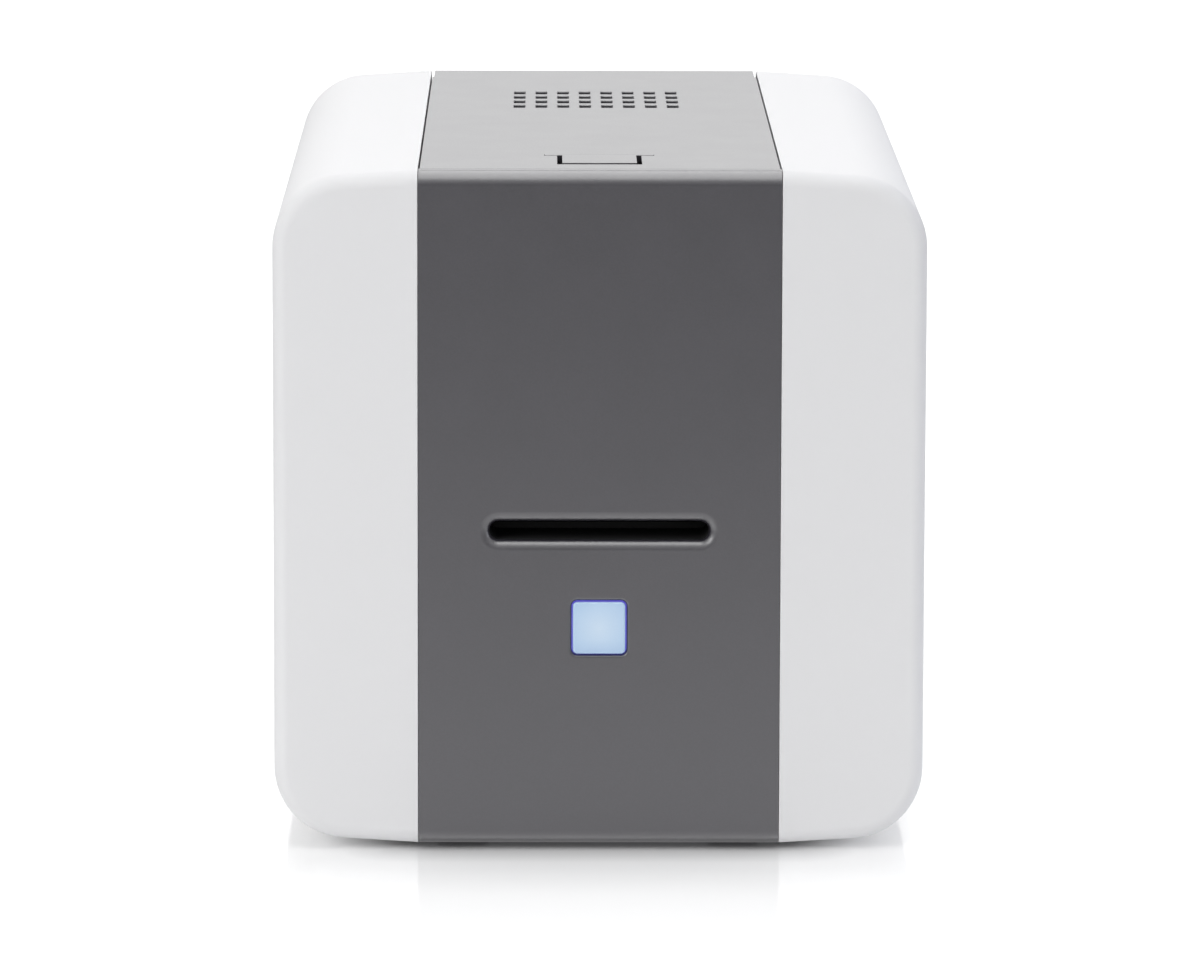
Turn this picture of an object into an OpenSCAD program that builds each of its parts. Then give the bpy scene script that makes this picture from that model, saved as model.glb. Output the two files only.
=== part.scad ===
// Desktop card printer: a band of grey panels between two white side shells, a rear-hinged cover that carries
// the print head, and a card path of four driven rollers behind the slot in the front panel.
// X runs to the right, Y to the back and Z up. The origin lies on the table under the middle of the body.

/* [Body] */
// Width over both side shells
body_w = 178; // [172:1:186]
// Depth from the front face to the back face
body_d = 268; // [262:1:284]
// Height of the body without its feet
body_h = 186; // [182:1:196]
// Width of the grey band between the side shells
band_w = 99; // [97:0.5:103]
// Radius of the four long corners of the body
corner_r = 20; // [14:1:26]
// Rounding of the front and back edges
edge_r = 4; // [2:0.5:6]
// Fall of the side shells' top and bottom faces away from the band, in degrees
shell_slope = 3.5; // [1:0.5:5]
// Wall of the moulded shells and panels
wall = 2.5; // [2:0.1:3]
// Height of the feet under the body
foot_h = 1.5; // [1:0.1:3]
// Radius of a foot
foot_r = 7; // [5:0.5:9]

/* [Front panel] */
// Width of the card slot
slot_w = 60; // [57:0.5:64]
// Height of the card slot
slot_h = 5.2; // [4.6:0.1:7]
// Height of the card slot's middle above the underside of the body
slot_z = 87.25; // [84:0.25:92]
// Side of the square button
button_w = 14.3; // [12:0.1:18]
// Height of the button's middle above the underside of the body
button_z = 60.5; // [58:0.5:62]
// Corner radius of the button
button_r = 1.2; // [0.5:0.1:2.5]
// How far the button stands out of the panel
button_out = 0.6; // [0.2:0.1:1]
// Travel of the button
button_travel = 1; // [0.5:0.1:1.4]

/* [Cover] */
// Depth of the front panel's lip on the top face
front_lip = 5.8; // [5.2:0.1:8]
// Gap between the cover and its neighbours
cover_gap = 0.5; // [0.3:0.1:0.8]
// Columns of vent slots
vent_cols = 8; // [4:1:8]
// Rows of vent slots
vent_rows = 4; // [2:1:4]
// Width of a vent slot
vent_w = 3.3; // [2:0.1:4]
// Length of a vent slot
vent_l = 7.5; // [5:0.5:9]
// Half width of the release tab
tab_half = 10.2; // [8:0.2:12]
// Length of the release tab's tongue
tab_l = 18.1; // [16:0.1:22]
// Gap beside the release tab
tab_gap = 1.4; // [1:0.1:2]
// Gap in front of the release tab
tab_front_gap = 2.6; // [1:0.1:3.2]
// Height of the hinge axis above the table
hinge_z = 112; // [106:1:114]
// Distance of the hinge axis from the back face
hinge_back = 18; // [17:0.5:19]

/* [Card path] */
// Distance from the front face to the first roller
first_roller_s = 30; // [28:1:32]
// Radius of the driven rollers and the platen
roller_r = 7; // [6:0.5:7.5]
// Radius of the pinch rollers
pinch_r = 5; // [4:0.5:5.5]
// Radius of the cleaning roller
clean_r = 6; // [5:0.5:6.5]
// Half width of the rollers' rubber
rubber_half = 29; // [27:0.5:31]
// Half of the gap between facing rollers
card_half = 0.4; // [0.3:0.1:0.6]
// Radius of the driven shafts
shaft_r = 3; // [2.5:0.5:3.5]
// Radius of the pinch roller shafts
pin_r = 2; // [1.5:0.25:2.5]

/* [Gears] */
// Tooth module of all gears, which also sets the pitch of the rollers
gear_m = 1; // [0.98:0.01:1.02]
// Face width of the gears
gear_w = 5; // [4:0.5:6]

/* [Ribbon] */
// Radius of the ribbon wound on the supply spool
supply_r = 16; // [12:0.5:16]
// Radius of the ribbon wound on the take-up spool
takeup_r = 11; // [9.5:0.5:14]
// Half width of the ribbon
ribbon_half = 28.5; // [27:0.5:29]
// Height of the spools above the table
spool_z = 125; // [124:0.5:127]
// Distance from the platen to each spool, along the body
spool_reach = 40; // [40:0.5:42]

/* [Frame] */
// Thickness of the sheet metal side plates
plate_t = 1.2; // [1:0.1:1.6]
// Height of the side plates above the base pan
plate_h = 146; // [144:1:150]
// Radius of the tie rods
tie_r = 3; // [2:0.5:3.5]
// Running clearance between a shaft and its bore
run_gap = 0.05; // [0.03:0.01:0.08]
// Gap between pieces that are seated but not joined
seat_gap = 0.3; // [0.2:0.05:0.4]

/* [Hidden] */
$fn = 48;

// Colours
shell_white = [0.95, 0.95, 0.96];
band_grey = [0.33, 0.33, 0.35];
inner_black = [0.09, 0.09, 0.10];
steel = [0.66, 0.67, 0.69];
alu = [0.78, 0.79, 0.81];
gear_white = [0.90, 0.89, 0.84];
rubber_dark = [0.13, 0.13, 0.14];
board_green = [0.05, 0.33, 0.20];

// Body
eps = 0.01;
lap_in = 0.2;
front_y = (button_out - body_d) / 2;
base_z = foot_h;
top_z = foot_h + body_h;
half_band = band_w / 2;
joint_gap = 0.1;
panel_half = half_band - joint_gap;
back_s = body_d;
mid_z = base_z + body_h / 2;
rim = edge_r + 1;

// Frame
pan_t = 2.5;
pan_top = base_z + pan_t;
plate_x = half_band - 3.5;
plate_in = plate_x - plate_t / 2;
plate_out = plate_x + plate_t / 2;
frame_front = 14;
frame_back = body_d - 10;
plate_top = pan_top + plate_h;

// Card path
card_z = base_z + slot_z;
drive_z = card_z - card_half - roller_r;
pinch_z = card_z + card_half + pinch_r;
clean_z = card_z + card_half + clean_r;
roller_teeth = 24;
idler_teeth = 36;
pinion_teeth = 12;
roller_pitch = gear_m * (roller_teeth + idler_teeth);
platen_s = first_roller_s + 2 * roller_pitch;
roller_s = [for (i = [0:3]) first_roller_s + i * roller_pitch];
pinch_s = [roller_s[0], roller_s[1], roller_s[3]];
idler_s = [for (i = [0:2]) first_roller_s + (i + 0.5) * roller_pitch];
clean_s = first_roller_s + roller_pitch / 2;
bush_wall = 2;
bush_in = plate_in - 1.6;
bush_out = plate_out + 1.6;
gear_in = bush_out + 0.8;
gear_out = gear_in + gear_w;
shaft_out = gear_out + 1;
pinion_reach = gear_m * (idler_teeth + pinion_teeth) / 2;
motor_z = drive_z - pinion_reach;
bracket_x = gear_out + 2;
bracket_t = 1.2;
motor_in = bracket_x + bracket_t;
bed_top = card_z - 0.85;
bed_t = 2;

// Ribbon
takeup_s = platen_s - spool_reach;
supply_s = platen_s + spool_reach;
cassette_x = 34;
cassette_wall = 2;
tower_half = 18;
tower_top = spool_z + 11;
bridge_z = card_z + 8.25;
bridge_top = bridge_z + 9;
seat_rod_z = spool_z - 18;
guide_s = 16;
guide_r = 1.5;
guide_z = card_z + 3.95;
film_z = card_z + 0.8;
film_t = 0.2;
ribbon_motor_s = takeup_s - pinion_reach;

// Head
head_bottom = film_z + film_t + 0.45;
pivot_s = platen_s + 11.5;
pivot_z = card_z + 29.25;
carrier_top = pivot_z + 14;
carrier_x = 38.5;
cam_z = carrier_top + 18;
cam_r = 6;
cam_shift = 1.5;
spring_x = 18;
spring_top = cam_z - cam_r - cam_shift - 0.8;

// Cover
cover_half = half_band - cover_gap;
cover_front = front_lip + 0.4;
cover_under = top_z - wall;
hinge_s = back_s - hinge_back;
cover_tail = 22;
tail_step = 0.5;
wing_x = plate_in - 3.9;
wing_t = 1.5;
deck_z = cover_under - 3.5;
deck_t = 1.5;
panel_back = back_s - 3;
panel_top = hinge_z + 15;
skirt_low = hinge_z + 14;
vent_pitch_x = 6.4;
vent_pitch_s = 12.3;
vent_mid_s = platen_s + 31.8;
tab_back = 38;
tab_front = tab_back - tab_l;
tab_root = 15;
fan_w = 50;
fan_t = 10;

// Fastenings
post_r = 4;
screw_r = 1.3;
screw_l = 8;
screw_head_r = 2.6;
screw_head_h = 1.8;
screw_play = 0.05;
screw_hole_r = screw_r + 0.2;

// Places
module at_s(x, s, z) {
    translate([x, front_y + s, z]) children();
}
module block(x0, x1, s0, s1, z0, z1) {
    at_s(x0, s0, z0) cube([x1 - x0, s1 - s0, z1 - z0]);
}
module rod_x(x0, x1, s, z, r) {
    at_s(x0, s, z) rotate([0, 90, 0]) cylinder(h = x1 - x0, r = r);
}
module rod_y(x, s0, s1, z, r) {
    at_s(x, s0, z) rotate([-90, 0, 0]) cylinder(h = s1 - s0, r = r);
}
// Extrudes an outline of [s, z] points from x0 to x1
module side_cut(x0, x1, points) {
    at_s(x0, 0, 0) rotate([90, 0, 90]) linear_extrude(x1 - x0) polygon(points);
}
// Extrudes an outline of [x, z] points from s0 to s1
module front_cut(s0, s1, points) {
    at_s(0, s1, 0) rotate([90, 0, 0]) linear_extrude(s1 - s0) polygon(points);
}
function arc(cx, cy, r, a0, a1, steps = 8) =
    [for (i = [0:steps]) let (a = a0 + (a1 - a0) * i / steps) [cx + r * cos(a), cy + r * sin(a)]];
function round_rect(cx, cy, w, h, r) = concat(
    arc(cx + w / 2 - r, cy + h / 2 - r, r, 0, 90), arc(cx - w / 2 + r, cy + h / 2 - r, r, 90, 180),
    arc(cx - w / 2 + r, cy - h / 2 + r, r, 180, 270), arc(cx + w / 2 - r, cy - h / 2 + r, r, 270, 360));
function spread(count, pitch) = [for (i = [0:count - 1]) (i - (count - 1) / 2) * pitch];

// Side shells
// A side body is built round the line of its two corner centres: two corner sectors, three flat strips with
// rounded edges that lap into the sectors a hair below their surface, and a core.
seam = 0.01;
lap = 0.4;
core_lap = 0.5;
module strip_profile(thick, depth, r) {
    square([thick - r, depth / 2]);
    if (r > 0) {
        square([thick, depth / 2 - r]);
        translate([thick - r, depth / 2 - r]) circle(r);
    } else {
        square([thick, depth / 2]);
    }
}
module full_profile(thick, depth, r) {
    intersection() {
        union() {
            strip_profile(thick, depth, r);
            mirror([0, 1]) strip_profile(thick, depth, r);
        }
        translate([0, -depth]) square([thick + 1, 2 * depth]);
    }
}
module strip(length, low, high, depth, r) {
    // A plate along -X with its outer face up, at the height high
    translate([-length, 0, low]) rotate([90, 0, 90]) linear_extrude(length + lap)
        rotate(90) full_profile(high - low, depth, r);
}
module half_side(x_cut, inset, r) {
    radius = corner_r - inset;
    core_r = corner_r - rim;
    depth = body_d - 2 * inset;
    reach = (body_w / 2 - corner_r - x_cut) / cos(shell_slope) + radius * sin(shell_slope) + 2;
    corner_z = corner_mid_z();
    translate([body_w / 2 - corner_r, 0, corner_z]) {
        rotate([90, 0, 0]) rotate_extrude(angle = 90 - shell_slope) full_profile(radius, depth, r);
        rotate([0, shell_slope, 0]) strip(reach, core_r, radius - seam, depth - 2 * seam, r);
    }
    translate([body_w / 2 - corner_r, 0, 0]) rotate([0, 90, 0])
        strip(corner_z + lap, core_r, radius - seam, depth - 2 * seam, r);
}
// Height of the upper corner's centre above the middle of the body
function corner_mid_z() = body_h / 2
    - (corner_r + (body_w / 2 - corner_r - half_band) * sin(shell_slope)) / cos(shell_slope);
function core_edge_z(x_cut) = corner_mid_z()
    + (corner_r - rim + core_lap + (body_w / 2 - corner_r - x_cut) * sin(shell_slope)) / cos(shell_slope);
module side_core(x_cut, inset) {
    cx = body_w / 2 - corner_r;
    cz = corner_mid_z();
    core_r = corner_r - rim + core_lap;
    tx = cx + core_r * sin(shell_slope);
    tz = cz + core_r * cos(shell_slope);
    depth = body_d - 2 * inset;
    translate([0, depth / 2, 0]) rotate([90, 0, 0]) linear_extrude(depth) polygon([
        [x_cut, core_edge_z(x_cut)], [tx, tz], [cx, cz], [cx + core_r, cz],
        [cx + core_r, -cz], [cx, -cz], [tx, -tz], [x_cut, -core_edge_z(x_cut)]]);
}
module side_body(x_cut, inset, r) {
    difference() {
        union() {
            half_side(x_cut, inset, r);
            mirror([0, 0, 1]) half_side(x_cut, inset, r);
            side_core(x_cut - 1, inset);
        }
        translate([x_cut - 100, -body_d, -body_h]) cube([100, 2 * body_d, 2 * body_h]);
    }
}
shell_posts = [[26, 24], [back_s - 26, 24], [26, plate_top - 12], [back_s - 40, plate_top - 12]];
module side_shell() {
    translate([0, 0, mid_z]) difference() {
        side_body(half_band, 0, edge_r);
        side_body(half_band - 1, wall, 0);
    }
    for (p = shell_posts) difference() {
        rod_x(plate_out, body_w / 2 - wall / 2, p[0], p[1], post_r);
        rod_x(plate_out - 1, plate_out + screw_l, p[0], p[1], screw_r);
    }
}
module left_side_shell() {
    color(shell_white) mirror([1, 0, 0]) side_shell();
}
module right_side_shell() {
    color(shell_white) side_shell();
}

// Front panel
slot_mid_z = base_z + slot_z;
button_mid_z = base_z + button_z;
button_play = 0.4;
module front_panel() {
    color(band_grey) difference() {
        side_cut(-panel_half, panel_half, concat(
            [[front_lip, top_z]], arc(edge_r, top_z - edge_r, edge_r, 90, 180),
            arc(edge_r, base_z + edge_r, edge_r, 180, 270), [[bottom_lip, base_z], [bottom_lip, pan_top]],
            arc(edge_r, base_z + edge_r, edge_r - wall, 270, 180),
            arc(edge_r, top_z - edge_r, edge_r - wall, 180, 90), [[front_lip, top_z - wall]]));
        front_cut(-1, wall + 1, concat(arc((slot_w - slot_h) / 2, slot_mid_z, slot_h / 2, -90, 90, 16),
            arc((slot_h - slot_w) / 2, slot_mid_z, slot_h / 2, 90, 270, 16)));
        front_cut(-1, wall + 1, round_rect(0, button_mid_z, button_w + 2 * button_play,
            button_w + 2 * button_play, button_r + button_play));
    }
}
bottom_lip = 9;

// A funnel that leads the card from the slot to the first rollers
guide_end = first_roller_s - roller_r - 2;
guide_wall = 3;
guide_half_w = slot_w / 2 + guide_wall;
guide_half_h = slot_h / 2 + guide_wall;
module slot_guide() {
    color(inner_black) difference() {
        block(-guide_half_w, guide_half_w, wall, guide_end, card_z - guide_half_h, card_z + guide_half_h);
        front_cut(wall - 1, guide_end + 1, concat(
            arc((slot_w - slot_h) / 2, card_z, slot_h / 2, -90, 90, 16),
            arc((slot_h - slot_w) / 2, card_z, slot_h / 2, 90, 270, 16)));
    }
}

// Button, its board and the switch behind it
stem_end = 7;
stem_r = 2;
flange_w = button_w + 3;
flange_t = 1.2;
plunger_gap = button_travel + 0.3;
module front_button() {
    color([0.78, 0.87, 0.96]) {
        front_cut(-button_out, wall + seat_gap, round_rect(0, button_mid_z, button_w, button_w, button_r));
        front_cut(wall + seat_gap, wall + seat_gap + flange_t,
            round_rect(0, button_mid_z, flange_w, flange_w, button_r));
        rod_y(0, wall + seat_gap + flange_t / 2, stem_end, button_mid_z, stem_r);
    }
}
key_board_s = stem_end + plunger_gap + 4;
key_board_t = 1.6;
key_board_half = 21;
key_board_low = button_mid_z - 13;
key_board_high = button_mid_z + 12;
key_post_x = 17;
key_post_r = 3;
key_half = 3;
key_t = 2.5;
plunger_r = 1.7;
lamp_x = 6;
lamp_half_w = 1.6;
lamp_half_h = 1.4;
lamp_t = 1.2;
module button_board() {
    color(board_green) difference() {
        block(-key_board_half, key_board_half, key_board_s, key_board_s + key_board_t,
            key_board_low, key_board_high);
        for (x = [-key_post_x, key_post_x])
            rod_y(x, key_board_s - 1, key_board_s + key_board_t + 1, button_mid_z, screw_r);
    }
    color(inner_black) {
        block(-key_half, key_half, key_board_s - key_t, key_board_s + lap_in,
            button_mid_z - key_half, button_mid_z + key_half);
        rod_y(0, stem_end + plunger_gap, key_board_s - key_t + lap_in, button_mid_z, plunger_r);
        for (x = [-lamp_x, lamp_x])
            block(x - lamp_half_w, x + lamp_half_w, key_board_s - lamp_t, key_board_s + lap_in,
                button_mid_z - lamp_half_h, button_mid_z + lamp_half_h);
        for (x = [-key_post_x, key_post_x]) difference() {
            rod_y(x, wall, key_board_s + lap_in, button_mid_z, key_post_r);
            rod_y(x, wall + 2, key_board_s + 1, button_mid_z, screw_r);
        }
    }
}

// Rear panel and its sockets
inlet_x = -32;
usb_x = 8;
switch_x = 33;
socket_z = 44;
socket_out = 0.6;
socket_hole_s = panel_back - 9;
inlet_l = 13;
inlet_r = 3.25;
inlet_half = 6;
inlet_pin_r = 1.05;
inlet_flange = 2;
inlet_flange_t = 1.5;
usb_l = 14;
usb_half_w = 6.1;
usb_half_h = 5.6;
usb_hole_w = 8.6;
usb_hole_h = 7.6;
usb_flange_t = 1.2;
switch_l = 14;
switch_half_w = 10;
switch_half_h = 6.5;
switch_rim = 1;
rocker_half_w = 8;
rocker_half_h = 4.6;
rocker_pin_r = 1;
rocker_pin_l = 1.2;
socket_play = 0.15;
module rear_panel() {
    color(band_grey) difference() {
        side_cut(-panel_half, panel_half, [[panel_back - wall, pan_top + eps], [panel_back - wall, panel_top],
            [panel_back, panel_top], [panel_back, base_z], [panel_back - wall, base_z]]);
        block(inlet_x - inlet_half - socket_play, inlet_x + inlet_half + socket_play, panel_back - wall - 1,
            panel_back + 1, socket_z - inlet_half - socket_play, socket_z + inlet_half + socket_play);
        block(usb_x - usb_half_w - socket_play, usb_x + usb_half_w + socket_play, panel_back - wall - 1,
            panel_back + 1, socket_z - usb_half_h - socket_play, socket_z + usb_half_h + socket_play);
        block(switch_x - switch_half_w - socket_play, switch_x + switch_half_w + socket_play,
            panel_back - wall - 1, panel_back + 1,
            socket_z - switch_half_h - socket_play, socket_z + switch_half_h + socket_play);
        for (p = rear_screws) rod_y(p[0], panel_back - wall - 1, panel_back + 1, p[1], screw_hole_r);
    }
}
rear_screw_x = panel_half - 9;
rear_screws = [for (x = [-rear_screw_x, rear_screw_x]) for (z = [16, panel_top - 14]) [x, z]];
module power_inlet() {
    color(inner_black) difference() {
        union() {
            block(inlet_x - inlet_half, inlet_x + inlet_half, panel_back - inlet_l, panel_back + socket_out,
                socket_z - inlet_half, socket_z + inlet_half);
            block(inlet_x - inlet_half - inlet_flange, inlet_x + inlet_half + inlet_flange,
                panel_back - wall - inlet_flange_t, panel_back - wall,
                socket_z - inlet_half - inlet_flange, socket_z + inlet_half + inlet_flange);
        }
        rod_y(inlet_x, socket_hole_s, panel_back + 2, socket_z, inlet_r);
    }
    color(steel) rod_y(inlet_x, socket_hole_s - eps, panel_back - 1, socket_z, inlet_pin_r);
}
module usb_port() {
    color(steel) difference() {
        union() {
            block(usb_x - usb_half_w, usb_x + usb_half_w, panel_back - usb_l, panel_back + socket_out,
                socket_z - usb_half_h, socket_z + usb_half_h);
            block(usb_x - usb_half_w - 2, usb_x + usb_half_w + 2,
                panel_back - wall - usb_flange_t, panel_back - wall,
                socket_z - usb_half_h - 1, socket_z + usb_half_h + 1);
        }
        block(usb_x - usb_hole_w / 2, usb_x + usb_hole_w / 2, socket_hole_s, panel_back + 2,
            socket_z - usb_hole_h / 2, socket_z + usb_hole_h / 2);
    }
}
module switch_housing() {
    color(inner_black) difference() {
        union() {
            block(switch_x - switch_half_w, switch_x + switch_half_w, panel_back - switch_l, panel_back + eps,
                socket_z - switch_half_h, socket_z + switch_half_h);
            block(switch_x - switch_half_w - switch_rim, switch_x + switch_half_w + switch_rim,
                panel_back, panel_back + switch_rim,
                socket_z - switch_half_h - switch_rim, socket_z + switch_half_h + switch_rim);
        }
        block(switch_x - rocker_half_w - 0.4, switch_x + rocker_half_w + 0.4, socket_hole_s, panel_back + 2,
            socket_z - rocker_half_h - seat_gap, socket_z + rocker_half_h + seat_gap);
        rod_z(switch_x, rocker_axis_s, socket_z - rocker_half_h - rocker_pin_l - 0.1,
            socket_z + rocker_half_h + rocker_pin_l + 0.1, rocker_pin_r + run_gap);
    }
}
rocker_axis_s = panel_back - 4.5;
module rod_z(x, s, z0, z1, r) {
    at_s(x, s, z0) cylinder(h = z1 - z0, r = r);
}
// The rocker turns about an upright pin in the housing
module power_rocker() {
    color([0.12, 0.12, 0.13]) {
        at_s(switch_x, rocker_axis_s, socket_z - rocker_half_h) linear_extrude(2 * rocker_half_h)
            polygon([[-rocker_half_w + 0.4, 4.2], [-rocker_half_w + 0.8, -1], [-2.5, -3],
                [2.5, -3], [rocker_half_w - 0.8, -1], [rocker_half_w - 0.4, 4.2], [0, 5.2]]);
        rod_z(switch_x, rocker_axis_s, socket_z - rocker_half_h - rocker_pin_l,
            socket_z + rocker_half_h + rocker_pin_l, rocker_pin_r);
    }
}

// Base pan, feet and frame
foot_inset = 12;
base_vents = 7;
base_vent_pitch = 9;
base_vent_w = 3;
base_vent_l = 40;
module base_pan() {
    color(band_grey) difference() {
        block(-panel_half, panel_half, bottom_lip, panel_back - wall, base_z, pan_top);
        for (x = spread(base_vents, base_vent_pitch)) block(x - base_vent_w / 2, x + base_vent_w / 2,
            platen_s - base_vent_l, platen_s, base_z - 1, pan_top + 1);
    }
}
module rubber_feet() {
    color(rubber_dark) for (x = [-panel_half + foot_inset, panel_half - foot_inset])
        for (s = [bottom_lip + foot_inset, panel_back - wall - foot_inset]) rod_z(x, s, 0, base_z, foot_r);
}
module frame_plate() {
    difference() {
        side_cut(plate_in, plate_out, [[frame_front, pan_top], [frame_back, pan_top],
            [frame_back, hinge_z + 10], [frame_back - 8, hinge_z + 16], [hinge_s - 12, hinge_z + 16],
            [hinge_s - 24, plate_top], [frame_front, plate_top]]);
        for (s = roller_s) rod_x(plate_in - 1, plate_out + 1, s, drive_z, bush_r(shaft_r));
        for (s = pinch_s) rod_x(plate_in - 1, plate_out + 1, s, pinch_z, bush_r(pin_r));
        rod_x(plate_in - 1, plate_out + 1, clean_s, clean_z, bush_r(pin_r));
        rod_x(plate_in - 1, plate_out + 1, hinge_s, hinge_z, hinge_pin_r);
        for (p = shell_posts) rod_x(plate_in - 1, plate_out + 1, p[0], p[1], screw_hole_r);
    }
}
function bush_r(r) = r + bush_wall;
hinge_pin_r = 3;
module left_frame_plate() {
    color(steel) mirror([1, 0, 0]) frame_plate();
}
module right_frame_plate() {
    color(steel) difference() {
        frame_plate();
        rod_x(plate_in - 1, plate_out + 1, takeup_s, spool_z, bush_r(shaft_r));
    }
}
tie_rods = [[frame_front + 5, 20], [frame_back - 6, 20], [frame_front + 5, plate_top - 4],
    [takeup_s - 32, plate_top - 6], [supply_s + 20, 58]];
seat_rods = [[takeup_s - 8, seat_rod_z], [supply_s + 10, seat_rod_z]];
module frame_tie_rods() {
    color(steel) for (p = concat(tie_rods, seat_rods)) rod_x(-plate_in, plate_in, p[0], p[1], tie_r);
}
module bush(s, z, r) {
    difference() {
        rod_x(bush_in, bush_out, s, z, bush_r(r));
        rod_x(bush_in - 1, bush_out + 1, s, z, r + run_gap);
    }
}
module roller_bushes() {
    color([0.72, 0.60, 0.36]) {
        for (side = [0, 1]) mirror([side, 0, 0]) {
            for (s = roller_s) bush(s, drive_z, shaft_r);
            for (s = pinch_s) bush(s, pinch_z, pin_r);
            bush(clean_s, clean_z, pin_r);
        }
        bush(takeup_s, spool_z, shaft_r);
    }
}
bed_half = plate_in - 0.2;
bed_front = guide_end + seat_gap;
bed_back = roller_s[3] + 36;
rail_half = 27.3;
rail_w = 1.7;
rail_h = 1.2;
window_side = 2;
window_end = 0.8;
module card_bed() {
    color(inner_black) difference() {
        union() {
            block(-bed_half, bed_half, bed_front, bed_back, bed_top - bed_t, bed_top);
            for (side = [0, 1]) mirror([side, 0, 0])
                block(rail_half, rail_half + rail_w, bed_front, bed_back, bed_top - eps, bed_top + rail_h);
        }
        for (s = roller_s) {
            block(-rubber_half - window_side, rubber_half + window_side,
                s - roller_r - window_end, s + roller_r + window_end, bed_top - bed_t - 1, bed_top + 3);
            for (side = [0, 1]) mirror([side, 0, 0]) block(bush_in - seat_gap, bed_half + 1,
                s - bush_r(shaft_r) - seat_gap, s + bush_r(shaft_r) + seat_gap,
                bed_top - bed_t - 1, bed_top + 3);
        }
    }
}

// Rollers
module driven_roller(s) {
    color(rubber_dark) rod_x(-rubber_half, rubber_half, s, drive_z, roller_r);
    color(steel) rod_x(-shaft_out, bush_out + 1, s, drive_z, shaft_r);
}
module idle_roller(s, z, r, tint) {
    color(tint) rod_x(-rubber_half + 3, rubber_half - 3, s, z, r);
    color(steel) rod_x(-bush_out - 0.5, bush_out + 0.5, s, z, pin_r);
}
module front_feed_roller() { driven_roller(roller_s[0]); }
module mid_feed_roller() { driven_roller(roller_s[1]); }
module platen_roller() { driven_roller(roller_s[2]); }
module rear_feed_roller() { driven_roller(roller_s[3]); }
module front_pinch_roller() { idle_roller(pinch_s[0], pinch_z, pinch_r, rubber_dark); }
module mid_pinch_roller() { idle_roller(pinch_s[1], pinch_z, pinch_r, rubber_dark); }
module rear_pinch_roller() { idle_roller(pinch_s[2], pinch_z, pinch_r, rubber_dark); }
module cleaning_roller() { idle_roller(clean_s, clean_z, clean_r, [0.25, 0.45, 0.75]); }

// Gears
// Straight-flanked teeth: half angles at the root, at the pitch circle's height and at the tip
function tooth(i, teeth, m) = let (pitch = 360 / teeth, a = i * pitch, r = m * teeth / 2) [
    for (q = [[-1.2, -0.30], [0.9, -0.10], [0.9, 0.10], [-1.2, 0.30]])
        [(r + q[0] * m) * cos(a + q[1] * pitch), (r + q[0] * m) * sin(a + q[1] * pitch)]];
function gear_points(teeth, m) = [for (i = [0:teeth - 1]) for (p = tooth(i, teeth, m)) p];
// A gear that is moulded round its own shaft
module solid_gear(teeth, s, z, x0, phase = 0) {
    at_s(x0, s, z) rotate([90, 0, 90]) linear_extrude(gear_w)
        rotate(phase) polygon(gear_points(teeth, gear_m));
}
module spur_gear(teeth, s, z, bore, x0, phase = 0) {
    difference() {
        solid_gear(teeth, s, z, x0, phase);
        rod_x(x0 - 1, x0 + gear_w + 1, s, z, bore);
    }
}
module roller_gear(s) {
    color(gear_white) spur_gear(roller_teeth, s, drive_z, shaft_r, -gear_out);
}
module idler_gear(s) {
    color(gear_white) spur_gear(idler_teeth, s, drive_z, shaft_r + run_gap, -gear_out, 180 / idler_teeth);
}
module front_roller_gear() { roller_gear(roller_s[0]); }
module mid_roller_gear() { roller_gear(roller_s[1]); }
module platen_gear() { roller_gear(roller_s[2]); }
module rear_roller_gear() { roller_gear(roller_s[3]); }
module front_idler_gear() { idler_gear(idler_s[0]); }
module mid_idler_gear() { idler_gear(idler_s[1]); }
module rear_idler_gear() { idler_gear(idler_s[2]); }
module idler_studs() {
    color(steel) for (s = idler_s) {
        rod_x(-gear_in + 0.2, -plate_out, s, drive_z, shaft_r + 1.5);
        rod_x(-shaft_out, -gear_in + 1, s, drive_z, shaft_r);
    }
}
motor_shaft_r = 1.5;
module motor_pinion() {
    color(gear_white) solid_gear(pinion_teeth, idler_s[1], motor_z, -gear_out);
    color(steel) rod_x(-motor_in + 0.1, -gear_in + 1, idler_s[1], motor_z, motor_shaft_r);
}
feed_motor_half = 20;
motor_gap = 4.3;
feed_motor_l = body_w / 2 - wall - motor_gap - motor_in;
module feed_motor() {
    color(steel) difference() {
        block(-motor_in - feed_motor_l, -motor_in, idler_s[1] - feed_motor_half, idler_s[1] + feed_motor_half,
            motor_z - feed_motor_half, motor_z + feed_motor_half);
        rod_x(-motor_in - 2, -motor_in + 1, idler_s[1], motor_z, motor_shaft_r + run_gap);
    }
}
bracket_hole_r = 5;
bracket_post_r = 2.5;
feed_bracket_half = 28;
feed_post = feed_bracket_half - 4;
ribbon_bracket_half = 15;
ribbon_post = ribbon_bracket_half - 3;
module motor_bracket(s, z, half, posts) {
    difference() {
        block(bracket_x, bracket_x + bracket_t, s - half, s + half, z - half, z + half);
        rod_x(bracket_x - 1, bracket_x + bracket_t + 1, s, z, bracket_hole_r);
    }
    for (p = posts) rod_x(plate_out, bracket_x + eps, s + p[0], z + p[1], bracket_post_r);
}
module motor_brackets() {
    color(alu) {
        mirror([1, 0, 0]) motor_bracket(idler_s[1], motor_z, feed_bracket_half,
            [[-feed_post, -feed_post], [feed_post, -feed_post], [0, -feed_post]]);
        motor_bracket(ribbon_motor_s, spool_z, ribbon_bracket_half,
            [[-ribbon_post, -ribbon_post], [-ribbon_post, ribbon_post], [0, ribbon_post]]);
    }
}
ribbon_motor_r = 12;
ribbon_motor_l = 20;
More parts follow.
